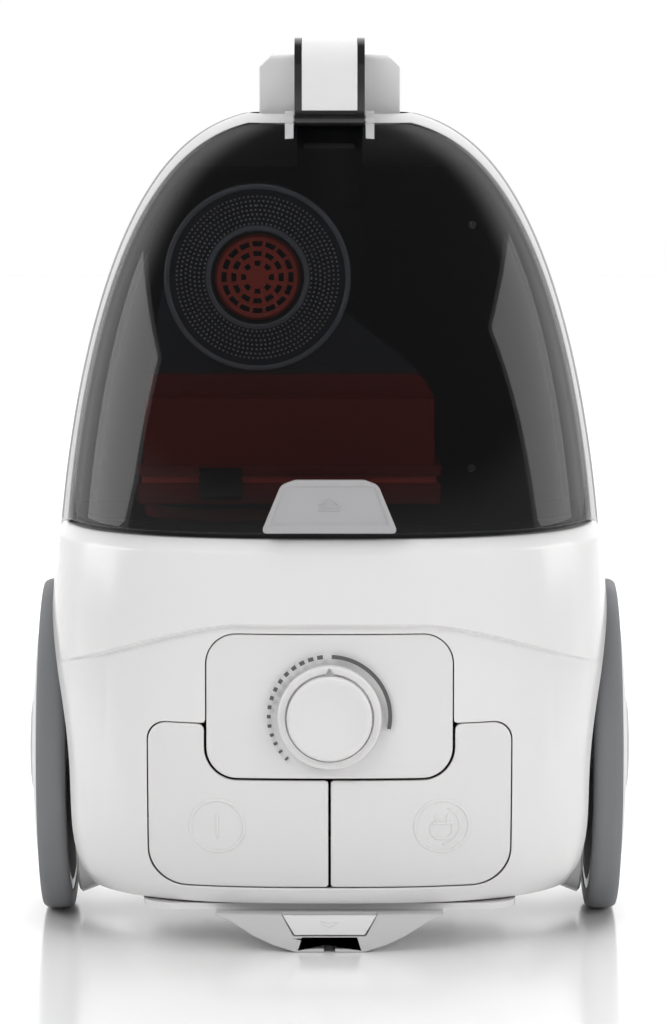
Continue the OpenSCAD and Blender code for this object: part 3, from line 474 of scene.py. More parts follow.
def add_node(tree: bpy.types.NodeTree, kind: str, inputs: Optional[dict] = None,
             **settings: str) -> bpy.types.Node:
    """Adds a node, sets its properties and fills or links its inputs.

    Args:
        tree: the material's node tree.
        kind: the node's type.
        inputs: a value, or a socket to link, by the input's name or number.
        settings: properties by name.

    Returns:
        The new node.
    """
    node = tree.nodes.new(kind)
    for key, value in settings.items():
        setattr(node, key, value)
    for key, value in (inputs or {}).items():
        if isinstance(value, bpy.types.NodeSocket):
            tree.links.new(value, node.inputs[key])
        else:
            node.inputs[key].default_value = value
    return node


class Texture(Enum):
    """How a surface was made, which sets its fine relief."""

    POLISHED = "polished"
    SPARK = "spark-eroded mould grain"
    TURNED = "turned"
    FELTED = "felted"


@dataclass(frozen=True)
class Finish:
    """One real surface: its colour, gloss and relief.

    Colours are sRGB hex; grain_mm is the width of one grain of the relief and depth_mm its height; mottle is
    the share by which the colour drifts over drift_mm; wear dulls or polishes patches of smudge_mm.
    """

    name: str
    colour: str
    rough: float = 0.35
    metal: float = 0.0
    ior: float = 1.5
    grain_mm: float = 0.8
    depth_mm: float = 0.02
    mottle: float = 0.03
    wear: float = 0.06
    coat: float = 0.0
    alpha: float = 1.0
    texture: Texture = Texture.SPARK
    drift_mm: float = 60.0
    smudge_mm: float = 14.0

    def material(self) -> bpy.types.Material:
        """The node material of this finish alone."""
        made, tree = bare_material(self.name)
        add_node(tree, "ShaderNodeOutputMaterial", {"Surface": self.shader(tree)})
        return made

    def shader(self, tree: bpy.types.NodeTree) -> bpy.types.NodeSocket:
        """The finish's shader: noise of real size drives its colour drift, gloss and relief."""
        spot = add_node(tree, "ShaderNodeTexCoord").outputs["Object"]
        drift = add_node(tree, "ShaderNodeTexNoise", {
            "Vector": spot, "Scale": 1 / (self.drift_mm * MM), "Detail": 4.0})
        smudge = add_node(tree, "ShaderNodeTexNoise", {
            "Vector": spot, "Scale": 1 / (self.smudge_mm * MM), "Detail": 6.0, "Roughness": 0.6})
        base = linear(self.colour)
        dark = tuple(c * (1 - self.mottle) for c in base[:3]) + (1.0,)
        light = tuple(min(1.0, c * (1 + self.mottle)) for c in base[:3]) + (1.0,)
        tint = add_node(tree, "ShaderNodeMix", {
            "Factor": drift.outputs["Fac"], 6: dark, 7: light}, data_type="RGBA")
        gloss = add_node(tree, "ShaderNodeMapRange", {
            "Value": smudge.outputs["Fac"], "From Min": 0.3, "From Max": 0.7,
            "To Min": max(0.02, self.rough - self.wear / 2), "To Max": self.rough + self.wear / 2})
        bump = add_node(tree, "ShaderNodeBump", {
            "Height": self._relief(tree, spot), "Distance": self.depth_mm * MM, "Strength": 1.0})
        shader = add_node(tree, "ShaderNodeBsdfPrincipled", {
            "Base Color": tint.outputs[2], "Roughness": gloss.outputs["Result"], "Metallic": self.metal,
            "Normal": bump.outputs["Normal"], "IOR": self.ior, "Alpha": self.alpha,
            "Coat Weight": self.coat, "Coat Roughness": 0.08})
        return shader.outputs["BSDF"]

    def _relief(self, tree: bpy.types.NodeTree, spot: bpy.types.NodeSocket) -> bpy.types.NodeSocket:
        """Height of the fine relief, by how the surface was made."""
        scale = 1 / (self.grain_mm * MM)
        if self.texture is Texture.TURNED:
            rings = {"Vector": spot, "Scale": scale / 20, "Distortion": 0.6, "Detail": 2.0}
            waves = add_node(tree, "ShaderNodeTexWave", rings, wave_type="RINGS", rings_direction="X")
            return waves.outputs["Fac"]
        if self.texture is Texture.FELTED:
            cells = add_node(tree, "ShaderNodeTexVoronoi", {"Vector": spot, "Scale": scale})
            return cells.outputs["Distance"]
        detail = 1.0 if self.texture is Texture.POLISHED else 3.0
        grains = add_node(tree, "ShaderNodeTexNoise", {"Vector": spot, "Scale": scale, "Detail": detail})
        return grains.outputs["Fac"]


def bare_material(name: str) -> tuple[bpy.types.Material, bpy.types.NodeTree]:
    """A new material with an empty node tree, and that tree."""
    made = bpy.data.materials.new(name)
    made.use_nodes = True
    made.node_tree.nodes.clear()
    return made, made.node_tree


@dataclass(frozen=True)
class TwoShot:
    """A moulding of two materials that meet at a height above the ground, in millimetres."""

    name: str
    lower: Finish
    upper: Finish
    height: float

    def material(self) -> bpy.types.Material:
        """The two finishes, mixed by the height of each point."""
        made, tree = bare_material(self.name)
        spot = add_node(tree, "ShaderNodeTexCoord").outputs["Object"]
        split = add_node(tree, "ShaderNodeSeparateXYZ", {0: spot})
        share = add_node(tree, "ShaderNodeMapRange", {
            "Value": split.outputs["Z"], "From Min": (self.height - 1) * MM,
            "From Max": (self.height + 1) * MM})
        both = add_node(tree, "ShaderNodeMixShader", {
            0: share.outputs["Result"], 1: self.lower.shader(tree), 2: self.upper.shader(tree)})
        add_node(tree, "ShaderNodeOutputMaterial", {"Surface": both.outputs[0]})
        return made


@dataclass
class Palette:
    """Every finish on the cleaner, made once."""

    # Glossy injection-moulded ABS: a soft, clean highlight over a slightly wavy polished skin
    shell: Finish = Finish("gloss_white_abs", "e3e2e2", 0.2, grain_mm=9, depth_mm=0.012, mottle=0.012,
                           wear=0.07, texture=Texture.POLISHED, coat=0.25)
    # The same ABS from a fine spark-eroded mould: controls are less glossy than the shell
    control: Finish = Finish("satin_white_abs", "dfdede", 0.38, grain_mm=0.6, depth_mm=0.012, mottle=0.012)
    # Pale grey ABS of the rim and tab, satin
    pale: Finish = Finish("pale_grey_abs", "c6c5c6", 0.34, grain_mm=0.6, depth_mm=0.015, mottle=0.015)
    # Darker satin grey ABS of the lid's release tab
    grip: Finish = Finish("satin_grey_abs", "a8a7a9", 0.36, grain_mm=0.5, depth_mm=0.012, mottle=0.015)
    # Mid grey band, through-coloured and fine-grained
    band: Finish = Finish("mid_grey_abs", "757577", 0.42, grain_mm=0.7, depth_mm=0.03)
    # Smoke-tinted polycarbonate, polished: nearly black, with clean reflections and a little see-through
    smoke: Finish = Finish("smoke_polycarbonate", "050506", 0.04, ior=1.55, grain_mm=40, depth_mm=0.002,
                           mottle=0.02, wear=0.0, alpha=0.50, texture=Texture.POLISHED)
    # Smoke-tinted styrene of the dust container
    drum: Finish = Finish("smoke_styrene", "4a4e58", 0.12, ior=1.55, grain_mm=10, depth_mm=0.006, wear=0.05,
                          alpha=0.72, texture=Texture.POLISHED)
    # Red-tinted styrene of the dust box, with the dark behind it showing through
    ruby: Finish = Finish("ruby_styrene", "a02a20", 0.14, ior=1.55, grain_mm=10, depth_mm=0.006, wear=0.05,
                          alpha=0.80, texture=Texture.POLISHED)
    # The container's two shots: red dust box below, smoke cyclone drum above
    container: TwoShot = TwoShot("two_shot_container", ruby, drum, 268.0)
    # Smoke styrene of the cyclone's turned rim, coloured much lighter than the drum: its pale tone is a
    # painted highlight for the gloss along its edges
    ring: Finish = Finish("smoke_styrene_rim_painted_highlight", "9a9fa9", 0.16, ior=1.55, grain_mm=10, depth_mm=0.006)
    # Glossy black ABS of the handle rails
    piano: Finish = Finish("gloss_black_abs", "1a1a1b", 0.14, grain_mm=8, depth_mm=0.006, wear=0.06, coat=0.4,
                           texture=Texture.POLISHED)
    # Glass-filled polypropylene of hidden mouldings: dull and slightly streaked
    inner: Finish = Finish("dark_polypropylene", "26272a", 0.55, grain_mm=0.9, depth_mm=0.04, mottle=0.08)
    # Red ABS of the grille, flap and filter basket
    red: Finish = Finish("red_abs", "f0604c", 0.3, grain_mm=0.6, depth_mm=0.012, mottle=0.03)
    # Grey paint of the printed scale, flat
    ink: Finish = Finish("grey_print", "5a5a5a", 0.6, grain_mm=0.3, depth_mm=0.005, mottle=0.04)
    # Soft thermoplastic rubber of the tyres: dull, dusty, a little patchy
    tyre: Finish = Finish("grey_tyre_rubber", "77787a", 0.62, ior=1.52, grain_mm=0.5, depth_mm=0.04,
                          mottle=0.07, wear=0.12)
    # Silver-grey lacquered ABS of the wheel discs
    disc: Finish = Finish("silver_lacquered_abs", "b9babb", 0.32, metal=0.25, grain_mm=0.35, depth_mm=0.01,
                          mottle=0.03, coat=0.2)
    # Foam rubber of seals and bumpers
    seal: Finish = Finish("foam_rubber", "202022", 0.8, grain_mm=0.7, depth_mm=0.09, mottle=0.12,
                          texture=Texture.FELTED)
    # Drawn steel of pins and shafts, with turning marks round the axis
    steel: Finish = Finish("drawn_steel", "b4b6b9", 0.28, metal=1.0, grain_mm=0.4, depth_mm=0.006,
                           texture=Texture.TURNED)
    # Lacquered copper windings
    copper: Finish = Finish("enamelled_copper", "b0683c", 0.3, metal=1.0, grain_mm=0.9, depth_mm=0.12,
                            texture=Texture.TURNED)
    # Stacked motor iron, thinly varnished
    iron: Finish = Finish("motor_iron", "6d6a66", 0.45, metal=0.9, grain_mm=0.7, depth_mm=0.06,
                          texture=Texture.TURNED)
    # Pleated filter fleece: matt, with visible fibres
    fleece: Finish = Finish("filter_fleece", "e9e6dc", 0.95, grain_mm=0.5, depth_mm=0.15, mottle=0.06,
                            texture=Texture.FELTED)
    # Open-cell filter foam
    foam: Finish = Finish("filter_foam", "3a3c3f", 0.95, grain_mm=1.0, depth_mm=0.3, mottle=0.15,
                          texture=Texture.FELTED)
    # Solder-masked circuit board
    board: Finish = Finish("solder_mask", "1f6b3a", 0.3, grain_mm=1.2, depth_mm=0.02, mottle=0.1)
    made: dict = field(default_factory=dict)

    def __getitem__(self, name: str) -> bpy.types.Material:
        """The material of a finish, made when first asked for."""
        if name not in self.made:
            self.made[name] = getattr(self, name).material()
        return self.made[name]


# ---- the body's skin ----

def lobe(share: Array, rise: float, fall: float) -> Array:
    """What is left of a size at a share of the way to an end: (1 - share^rise)^fall."""
    return np.maximum(0, 1 - np.maximum(0, share) ** rise) ** fall


@dataclass(frozen=True)
class Skin:
    """The moulded body's outer surface, by the formulas that the CAD shells follow, in millimetres.

    Each level is a superellipse: the crown half towards -Y and the belly half towards +Y, which meet at
    seam_y.
    """

    body_w: float = 274.0
    nose_z: float = 393.0
    crown: float = 138.0
    belly: float = 62.0
    seam_y: float = -12.0
    widest_z: float = 85.0
    shoulder_z: float = 150.0
    tail_z: float = 22.0
    lid_z: float = 198.5
    lid_gap: float = 2.5
    lid_half: float = 126.0
    wall: float = 2.5
    crown_n: float = 2.7
    belly_n: float = 3.5
    wheel_r: float = 81.0
    well_x: float = 103.0
    nose_half: float = 33.7

    @property
    def cover_top(self) -> float:
        """Height of the rear cover's upper edge."""
        return self.lid_z - self.lid_gap

    @property
    def lid_top(self) -> float:
        """Height of the lid's upper edge."""
        return self.nose_z - 8

    def rear_half(self, z: Array) -> Array:
        """Half width of the rear body at a height."""
        low = self.body_w / 2 * lobe((self.widest_z - z) / self.widest_z, 3.2, 0.3)
        high = self.body_w / 2 - 4.5 * np.maximum(0, (z - self.widest_z) / 90) ** 2
        return np.where(z < self.widest_z, low, high)

    def front_half(self, z: Array) -> Array:
        """Half width of the front body at a height."""
        share = (z - self.shoulder_z) / (self.nose_z - self.shoulder_z)
        return (self.body_w / 2 - 5) * lobe(share, 1.7, 0.305)

    def belly_half(self, z: Array) -> Array:
        """Half width of the belly shell at a height."""
        return np.where(z < self.cover_top, self.rear_half(z), self.front_half(z))

    def crown_at(self, z: Array) -> Array:
        """Depth of the crown half at a height."""
        low = lobe((self.shoulder_z - z) / 170, 3, 0.42)
        high = lobe((z - self.shoulder_z) / (self.nose_z + 15 - self.shoulder_z), 1.6, 0.45)
        return (self.crown + self.seam_y) * np.where(z < self.shoulder_z, low, high)

    def belly_at(self, z: Array) -> Array:
        """Depth of the belly half at a height."""
        low = lobe((self.widest_z - z) / self.widest_z, 4, 0.3)
        high = lobe((z - 200) / (self.nose_z + 7 - 200), 3, 0.4)
        return (self.belly - self.seam_y) * np.where(z < 200, low, high)

    def lid_edge(self, z: Array) -> Array:
        """Half width of the lid at a height."""
        return self.lid_half * lobe((z - self.shoulder_z) / (self.nose_z - 5 - self.shoulder_z), 1.9, 0.32)

    def crown_grid(self, u: Array, z: Array, inset: Array, half: Array) -> Array:
        """Points of the crown skin: u from -1 to 1 across, inset inside it."""
        return self._grid(u, z, half - inset, self.crown_at(z) - inset, self.crown_n, 1)

    def belly_grid(self, u: Array, z: Array, inset: Array, half: Array) -> Array:
        """Points of the belly skin: u from -1 to 1 across, inset inside it."""
        return self._grid(u, z, half - inset, self.belly_at(z) - inset, self.belly_n, -1)

    def _grid(self, u: Array, z: Array, half: Array, reach: Array, power: float, way: int) -> Array:
        """Points of a superellipse's crown half (way 1) or belly half (way -1) at u and z."""
        across = way * half * np.sign(u) * np.abs(np.sin(np.pi / 2 * u)) ** (2 / power)
        depth = reach * np.abs(np.cos(np.pi / 2 * u)) ** (2 / power)
        return np.stack(np.broadcast_arrays(across, self.seam_y - way * depth, z + 0.0), -1)

    def share_of(self, x: Array, half: Array) -> Array:
        """The u of a crown point whose x is given."""
        ratio = np.minimum(1.0, np.abs(x) / half)
        return np.sign(x) * np.arcsin(ratio ** (self.crown_n / 2)) / (np.pi / 2)

    def rear(self, x: Array, z: Array, inset: Array) -> Array:
        """Crown points over x and z on the rear body; the inset moves them in depth only."""
        share = np.minimum(1.0, np.abs(x) / self.rear_half(z))
        bow = np.maximum(1e-6, 1 - share ** self.crown_n) ** (1 / self.crown_n)
        depth = self.crown_at(z) * bow - inset
        return np.stack(np.broadcast_arrays(x, self.seam_y - depth, z + 0.0), -1)


def edge_rows(low: float, high: float, ease: float, count: int) -> tuple[Array, Array]:
    """Places from low to high that crowd at both ends, and the depth of a rounded edge at each.

    Args:
        low: first place.
        high: last place.
        ease: radius of the rounded edges.
        count: number of places between them.

    Returns:
        The places and their depths.
    """
    inward, depth = round_over(ease)
    middle = np.linspace(low + ease, high - ease, count)[1:-1]
    places = np.concatenate([low + inward, middle, (high - inward)[::-1]])
    return places, np.concatenate([depth, np.zeros(len(middle)), depth[::-1]])


def soft_ramp(x: Array) -> Array:
    """Smooth step from 0 at 0 to 1 at 1."""
    x = np.clip(x, 0, 1)
    return x * x * (3 - 2 * x)


@dataclass
class RearCover:
    """The white rear cover with its arched recess, opening for the controls and bevelled upper ledge."""

    skin: Skin
    palette: Palette
    gap: float = 0.6
    ease: float = 0.7
    bevel_h: float = 6.0
    bevel_in: float = 3.0
    arch_top: float = 157.0
    arch_flat: float = 46.0
    arch_edge: float = 107.0
    arch_tip: float = 129.0
    arch_depth: float = 3.4
    arch_drop: float = 22.0
    arch_span: float = 76.0
    arch_step: float = 1.6
    arch_fade: float = 105.0

    def opening(self) -> Array:
        """Outline round the dial panel and both pedals, one gap outside them."""
        g = self.gap
        half = [(PEDAL_HALF + g, PEDAL_LOW - g, 18), (PEDAL_HALF + g, PEDAL_TOP + g, 9),
                (PANEL_HALF + g, PEDAL_TOP + g, 1.2), (PANEL_HALF + g, PANEL_TOP + g, 14 + g)]
        return fillet_outline(half + [(-x, z, r) for x, z, r in reversed(half)])

    def arch(self, x: Array, z: Array) -> Array:
        """Depth of the recess below the arch line.

        The line is level in the middle and falls away on both sides with the power 1.4 of the distance; the
        recess is deepest just below it and fades out downwards and towards the line's two tips.
        """
        side = np.abs(x)
        fall = np.maximum(0, (side - self.arch_flat) / self.arch_span) ** 1.4
        line = self.arch_top - self.arch_drop * fall
        drop = soft_ramp((line - z) / self.arch_step)
        tips = np.clip((self.arch_tip - side) / (self.arch_tip - self.arch_edge), 0, 1)
        fade = 1 - soft_ramp((line - z) / self.arch_fade)
        return self.arch_depth * drop * tips * fade

    def build(self) -> None:
        """Makes the cover as a slab of the skin, then cuts the opening and the wheel wells."""
        z, end = edge_rows(self.skin.tail_z, self.skin.cover_top, self.ease, 210)
        u = np.linspace(-1, 1, 281)
        ledge = self.bevel_in * np.clip((z - (self.skin.cover_top - self.bevel_h)) / self.bevel_h, 0, 1)
        uu, zz = np.meshgrid(u, z)
        half = self.skin.rear_half(zz)
        x = self.skin.crown_grid(uu, zz, 0.0, half)[..., 0]
        inset = np.repeat((end + ledge)[:, None], len(u), 1)
        outer = self.skin.crown_grid(uu, zz, inset + self.arch(x, zz), half)
        behind = np.repeat(ledge[:, None], len(u), 1) + self.skin.wall + 2.4
        inner = self.skin.crown_grid(uu, zz, behind, half)
        cover = slab("rear_cover_shell", outer, inner)
        cutters = [pad_cutter(self.skin.rear, self.opening(), (0.0, 96.0), 0.6)]
        cutters += [wheel_well(self.skin, side) for side in (-1, 1)]
        carve(cover, *cutters)
        place(cover, self.palette["shell"], "base", "rear_cover")


def wheel_well(skin: Skin, side: int) -> bpy.types.Object:
    """Cylinder that clears a wheel out of the shells."""
    radius = skin.wheel_r + 3.5
    near, far = side * skin.well_x, side * 170
    return lathe("cutter", [(0, near), (radius, near), (radius, far), (0, far)], (0, 0, skin.wheel_r))


@dataclass
class Controls:
    """Dial panel, dial and the two foot pedals, each a plate of the cover's own skin."""

    skin: Skin
    palette: Palette
    dial_z: float = 114.4
    dial_r: float = 24.0
    cap_r: float = 19.6
    dial_h: float = 9.0
    pedal_mark_r: float = 12.6
    mark_x: float = 52.2
    mark_z: float = 61.5

    def on_cover(self, x: Array, z: Array, inset: Array) -> Array:
        """Points over x and z on the cover, sunk with its arched recess."""
        return self.skin.rear(x, z, inset + RearCover(self.skin, self.palette).arch(x, z))

    def panel(self) -> None:
        """The dial panel, with a shallow seat for the dial's collar."""
        low, r = 85, 14
        outline = fillet_outline([(PANEL_HALF, low, r), (PANEL_HALF, PANEL_TOP, r),
                                  (-PANEL_HALF, PANEL_TOP, r), (-PANEL_HALF, low, r)])
        panel = pad("dial_panel_plate", self.on_cover, outline, (0.0, 118.5), 0.8, 3.0, rings=40)
        face = self.face_y()
        back, front = face + 1.0, face - 9
        seat = lathe("cutter", [(0, back), (self.dial_r + 0.6, back), (self.dial_r + 1.2, front), (0, front)],
                     (0, 0, self.dial_z), "y")
        carve(panel, seat)
        place(panel, self.palette["control"], "base", "dial_panel")

    def face_y(self) -> float:
        """Depth of the skin at the dial's centre."""
        return float(self.skin.rear(np.array(0.0), np.array(self.dial_z), np.array(0.0))[1])

    def dial(self) -> None:
        """The dial: a low collar with a groove, a raised cap with a rounded edge, and a pointer notch."""
        y = self.face_y()
        top = y - self.dial_h
        r, c = self.dial_r, self.cap_r
        turn = np.linspace(0, np.pi / 2, 7)
        collar = [(r - 1.2 + 1.2 * math.cos(a), y - 3.2 + 1.2 * (1 - math.sin(a)) - 1.2) for a in turn]
        cap = [(c - 1.6 + 1.6 * math.cos(a), top + 1.6 - 1.6 * math.sin(a)) for a in turn]
        groove = [(c + 1.0, y - 4.4), (c + 0.7, y - 2.6), (c, y - 2.6)]
        dished = [(c - 3.0, top), (c - 3.6, top + 0.35), (0, top + 0.7)]
        profile = [(0, y + 0.8), (r, y + 0.8)] + collar + groove + cap + dished
        knob = lathe("dial_cap", profile, (0, 0, self.dial_z), "y", 160)
        edge = self.dial_z + r
        notch = fillet_outline([(-2.1, edge - 5.2, 0.3), (2.1, edge - 5.2, 0.3), (0.0, edge - 1.0, 0.3)], 0.4)
        carve(knob, pad_cutter(Flat(y - 3.6).at, notch, (0.0, edge - 3.8), 0.15, 1.2))
        place(knob, self.palette["control"], "dial", "dial_knob")

    def pedals(self) -> None:
        """Both pedals, with an embossed ring and its sign on each."""
        inner, gap, notch_x, notch_z = 0.6, 1.2, 58.2, 83.8
        corners = [(inner, PEDAL_LOW, gap), (PEDAL_HALF, PEDAL_LOW, 18), (PEDAL_HALF, PEDAL_TOP, 9),
                   (notch_x, PEDAL_TOP, 3), (notch_x, notch_z, 15.2), (inner, notch_z, gap)]
        for side, node in ((-1, "power_pedal"), (1, "rewind_pedal")):
            outline = fillet_outline([(side * x, z, r) for x, z, r in corners])
            plate = pad(f"{node}_plate", self.on_cover, outline, (side * 71.0, 60.0), 0.9, 3.0, rings=48)
            place(plate, self.palette["control"], node, node)
            for mark in self.signs(side):
                place(mark, self.palette["control"], node)

    def signs(self, side: int) -> list[bpy.types.Object]:
        """A ring with a bar for power on the left, and a ring with a plug for the cord on the right."""
        x, z, r = side * self.mark_x, self.mark_z, self.pedal_mark_r
        turn = np.linspace(0, 2 * np.pi, 96, endpoint=False)
        ring = np.stack([x + r * np.cos(turn), z + r * np.sin(turn)], -1)
        lines = [("ring", ring, True)]
        if side < 0:
            lines.append(("bar", strokes([(x, z - 6.4), (x, z + 6.4)]), False))
        else:
            plug = [(-5, 1.5), (-5, -3.5), (-2.5, -6), (2.5, -6), (5, -3.5), (5, 1.5), (-5, 1.5)]
            lines.append(("plug", strokes([(x + across, z + up) for across, up in plug]), False))
            for k in (-2.6, 2.6):
                lines.append((f"prong_{k}", strokes([(x + k, z + 1.5), (x + k, z + 6.5)]), False))
            bow = np.linspace(-0.5 * np.pi, 0.42 * np.pi, 24)
            lines.append(("lead", np.stack([x + 8.6 * np.cos(bow), z + 9.0 * np.sin(bow)], -1), False))
        return [bead(f"pedal_{name}_{'left' if side < 0 else 'right'}".replace("-", "m").replace(".", "_"),
                     self.on_cover, line, 1.5, 0.6, closed) for name, line, closed in lines]

    def build(self) -> None:
        """Makes the panel, the dial and the pedals, and dresses the scale."""
        self.panel()
        self.dial()
        self.pedals()
        dress(self.palette["ink"], "dial_scale")


@dataclass(frozen=True)
class Flat:
    """A flat face at one depth, looking towards -Y."""

    y: float

    def at(self, x: Array, z: Array, inset: Array) -> Array:
        """Points over x and z, inset behind the face."""
        return np.stack(np.broadcast_arrays(x, self.y + inset, z + 0.0), -1)


@dataclass
class Belly:
    """White belly shell with its wheel wells, hub drums, screw seats and caster seat."""

    skin: Skin
    palette: Palette
    ease: float = 0.7
    screw_x: float = 70.0
    screw_zs: tuple[float, float] = (214.5, 334.5)
    caster_z: float = 327.0
    gland: tuple[float, float] = (60.0, 40.0)
    far_y: float = 90.0

    def shell(self) -> None:
        """The belly half of the skin as a slab, cut round the wheels, nose, gland, caster and screws."""
        z, end = edge_rows(self.skin.tail_z, self.skin.nose_z - 3, self.ease, 240)
        u = np.linspace(-1, 1, 261)
        uu, zz = np.meshgrid(u, z)
        half = self.skin.belly_half(zz)
        inset = np.repeat(end[:, None], len(u), 1)
        outer = self.skin.belly_grid(uu, zz, inset, half)
        inner = self.skin.belly_grid(uu, zz, self.skin.wall, half)
        shell = slab("belly_shell", outer, inner)
        cutters = [wheel_well(self.skin, side) for side in (-1, 1)]
        cutters.append(brick((-self.skin.nose_half, -14, 384.8), (self.skin.nose_half, 26.2, 402)))
        bores = ((10.2, 40, (0, 0, self.caster_z), 96), (7.1, 30, (self.gland[0], 0, self.gland[1]), 64))
        for radius, near, middle, segments in bores:
            profile = [(0, near), (radius, near), (radius, self.far_y), (0, self.far_y)]
            cutters.append(lathe("cutter", profile, middle, "y", segments))
        for x in (-self.screw_x, self.screw_x):
            for height in self.screw_zs:
                seat = self.depth_at(x, height) - 3.5
                cutters.append(lathe("cutter", [(0, seat), (4.4, seat), (5.0, seat + 20), (0, seat + 20)],
                                     (x, 0, height), "y", 48))
        carve(shell, *cutters)
        place(shell, self.palette["shell"], "base", "base_shell")

    def depth_at(self, x: float, z: float) -> float:
        """Depth of the belly skin over x and z."""
        half = float(self.skin.belly_half(np.array(z)))
        share = (1 - (abs(x) / half) ** self.skin.belly_n) ** (1 / self.skin.belly_n)
        return self.skin.seam_y + float(self.skin.belly_at(np.array(z))) * share

    def wells(self) -> None:
        """Inner wall of each wheel well and the drum that fills its middle."""
        bore, hub_low, hub_high, face, soft = 4.0, 66.0, 73.0, 122.0, 1.2
        for side, tag in SIDES:
            x0 = side * self.skin.well_x
            back = side * (self.skin.well_x - self.skin.wall)
            drum = [(bore, x0), (bore, side * (face - 1)), (18, side * (face - 1)), (20, side * face),
                    (hub_high - soft, side * face), (hub_high, side * (face - soft)), (hub_low, x0),
                    (hub_low, back), (bore, back)]
            place(lathe(f"hub_drum_{tag}", drum, (0, 0, self.skin.wheel_r)), self.palette["shell"], "base")
            wall = lathe(f"well_wall_{tag}", [(64, back), (84.4, back), (84.4, x0), (64, x0)],
                         (0, 0, self.skin.wheel_r), segments=160)
            carve(wall, *self.outside())
            place(wall, self.palette["shell"], "base")

    def outside(self) -> list[bpy.types.Object]:
        """Solids that cover everything below the tail and behind the belly skin."""
        low = brick((-160, -160, -20), (160, 120, self.skin.tail_z))
        z = np.linspace(self.skin.tail_z - 1, 180, 60)
        u = np.linspace(-1, 1, 121)
        uu, zz = np.meshgrid(u, np.maximum(z, 1.0))
        half = self.skin.rear_half(zz)
        near = self.skin.belly_grid(uu, zz, 1.0, half)
        far = near.copy()
        far[..., 1] = 140.0
        front = self.skin.crown_grid(uu, zz, 1.0, half)
        ahead = front.copy()
        ahead[..., 1] = -200.0
        return [low, slab("cutter", far, near), slab("cutter", ahead, front)]

    def caster_seat(self) -> None:
        """Boss that the caster swivels in."""
        bore, outer, back, front = 4.1, 10, 32, 58.6
        seat = [(bore, back), (bore, front), (outer - 1.4, front), (outer, front - 1.4), (outer, back)]
        place(lathe("caster_seat", seat, (0, 0, self.caster_z), "y", 96), self.palette["shell"], "base")

    def build(self) -> None:
        """Makes the shell, the wheel wells and the caster's seat."""
        self.shell()
        self.wells()
        self.caster_seat()


def brick(low: Sequence[float], high: Sequence[float]) -> bpy.types.Object:
    """A plain box used for cutting."""
    x, y, z = [np.array([a, b]) for a, b in zip(low, high)]
    xx, zz = np.meshgrid(x, z)
    face = np.stack([xx, np.full_like(xx, y[0]), zz], -1)
    back = np.stack([xx, np.full_like(xx, y[1]), zz], -1)
    return slab("cutter", face.astype(float), back.astype(float))


@dataclass
class Frame:
    """Grey side bands, white rim round the lid, nose block and carrying handle."""

    skin: Skin
    palette: Palette
    rim_share: float = 0.985
    gap: float = 0.6
    lid_gap: float = 0.8
    rim_ease: float = 0.06
    rim_scale: float = 10.0
    band_ease: float = 0.012

    def rim(self) -> None:
        """The rim as one strip: up the left of the lid, across the nose and down the right.

        Along the strip t runs over a right angle and the height on each side follows its sine; across the
        strip v blends the lid's edge with the flank.
        """
        t = np.linspace(0, np.pi / 2, 120)[:, None]
        v, end = edge_rows(0, 1, self.rim_ease, 14)
        inner_z = self.skin.lid_z + (self.skin.lid_top - self.skin.lid_z) * np.sin(t)
        outer_z = self.skin.cover_top + (self.skin.nose_z - 3 - self.skin.cover_top) * np.sin(t)
        z0 = inner_z + self.lid_gap * np.sin(t)
        x0 = self.skin.lid_edge(inner_z) + self.gap
        x1 = self.skin.front_half(outer_z) * self.rim_share
        z = z0 + (outer_z - z0) * v
        x = x0 + (x1 - x0) * v
        bridge_x = np.linspace(x[-1], -x[-1], 40)[1:-1]
        bridge_z = np.broadcast_to(z[-1], bridge_x.shape)
        xs = np.concatenate([x, bridge_x, -x[::-1]])
        zs = np.concatenate([z, bridge_z, z[::-1]])
        soft = np.broadcast_to(end * self.rim_scale, xs.shape)
        half = self.skin.front_half(zs)
        u = self.skin.share_of(xs, half)
        strip = slab("lid_rim", self.skin.crown_grid(u, zs, soft, half),
                     self.skin.crown_grid(u, zs, self.skin.wall, half))
        carve(strip, brick((-self.skin.nose_half, -38.2, self.skin.lid_z),
                           (self.skin.nose_half, 0, self.skin.nose_z + 10)))
        place(strip, self.palette["pale"], "base", "rim_frame")

    def bands(self) -> None:
        """The grey band between rim and belly on each side, narrowing to the nose."""
        start = float(self.skin.share_of(np.array(self.rim_share), np.array(1.0))) + 0.004
        z = self.skin.cover_top + 1 + (self.skin.nose_z - 5 - self.skin.cover_top) * np.sin(
            np.linspace(0, np.pi / 2, 120))
        u, end = edge_rows(start, 1.0, self.band_ease, 12)
        for side, tag in SIDES:
            uu, zz = np.meshgrid(side * u, z)
            half = self.skin.front_half(zz)
            soft = np.broadcast_to(end / self.band_ease * self.gap, uu.shape)
            band = slab(f"side_band_{tag}", self.skin.crown_grid(uu, zz, soft, half),
                        self.skin.crown_grid(uu, zz, self.skin.wall, half))
            nodes = ("side_band",) if side < 0 else ()
            place(band, self.palette["band"], "base", *nodes)

    def build(self) -> None:
        """Makes the rim and bands, and rounds the nose block and the handle."""
        self.rim()
        self.bands()
        eased_copy("nose_block", "nose_housing", 1.6, self.palette["control"])
        eased_copy("handle_frame", "handle_rails", 0.7, self.palette["piano"])
        eased_copy("handle_cover", "handle_strap", 0.6, self.palette["control"])


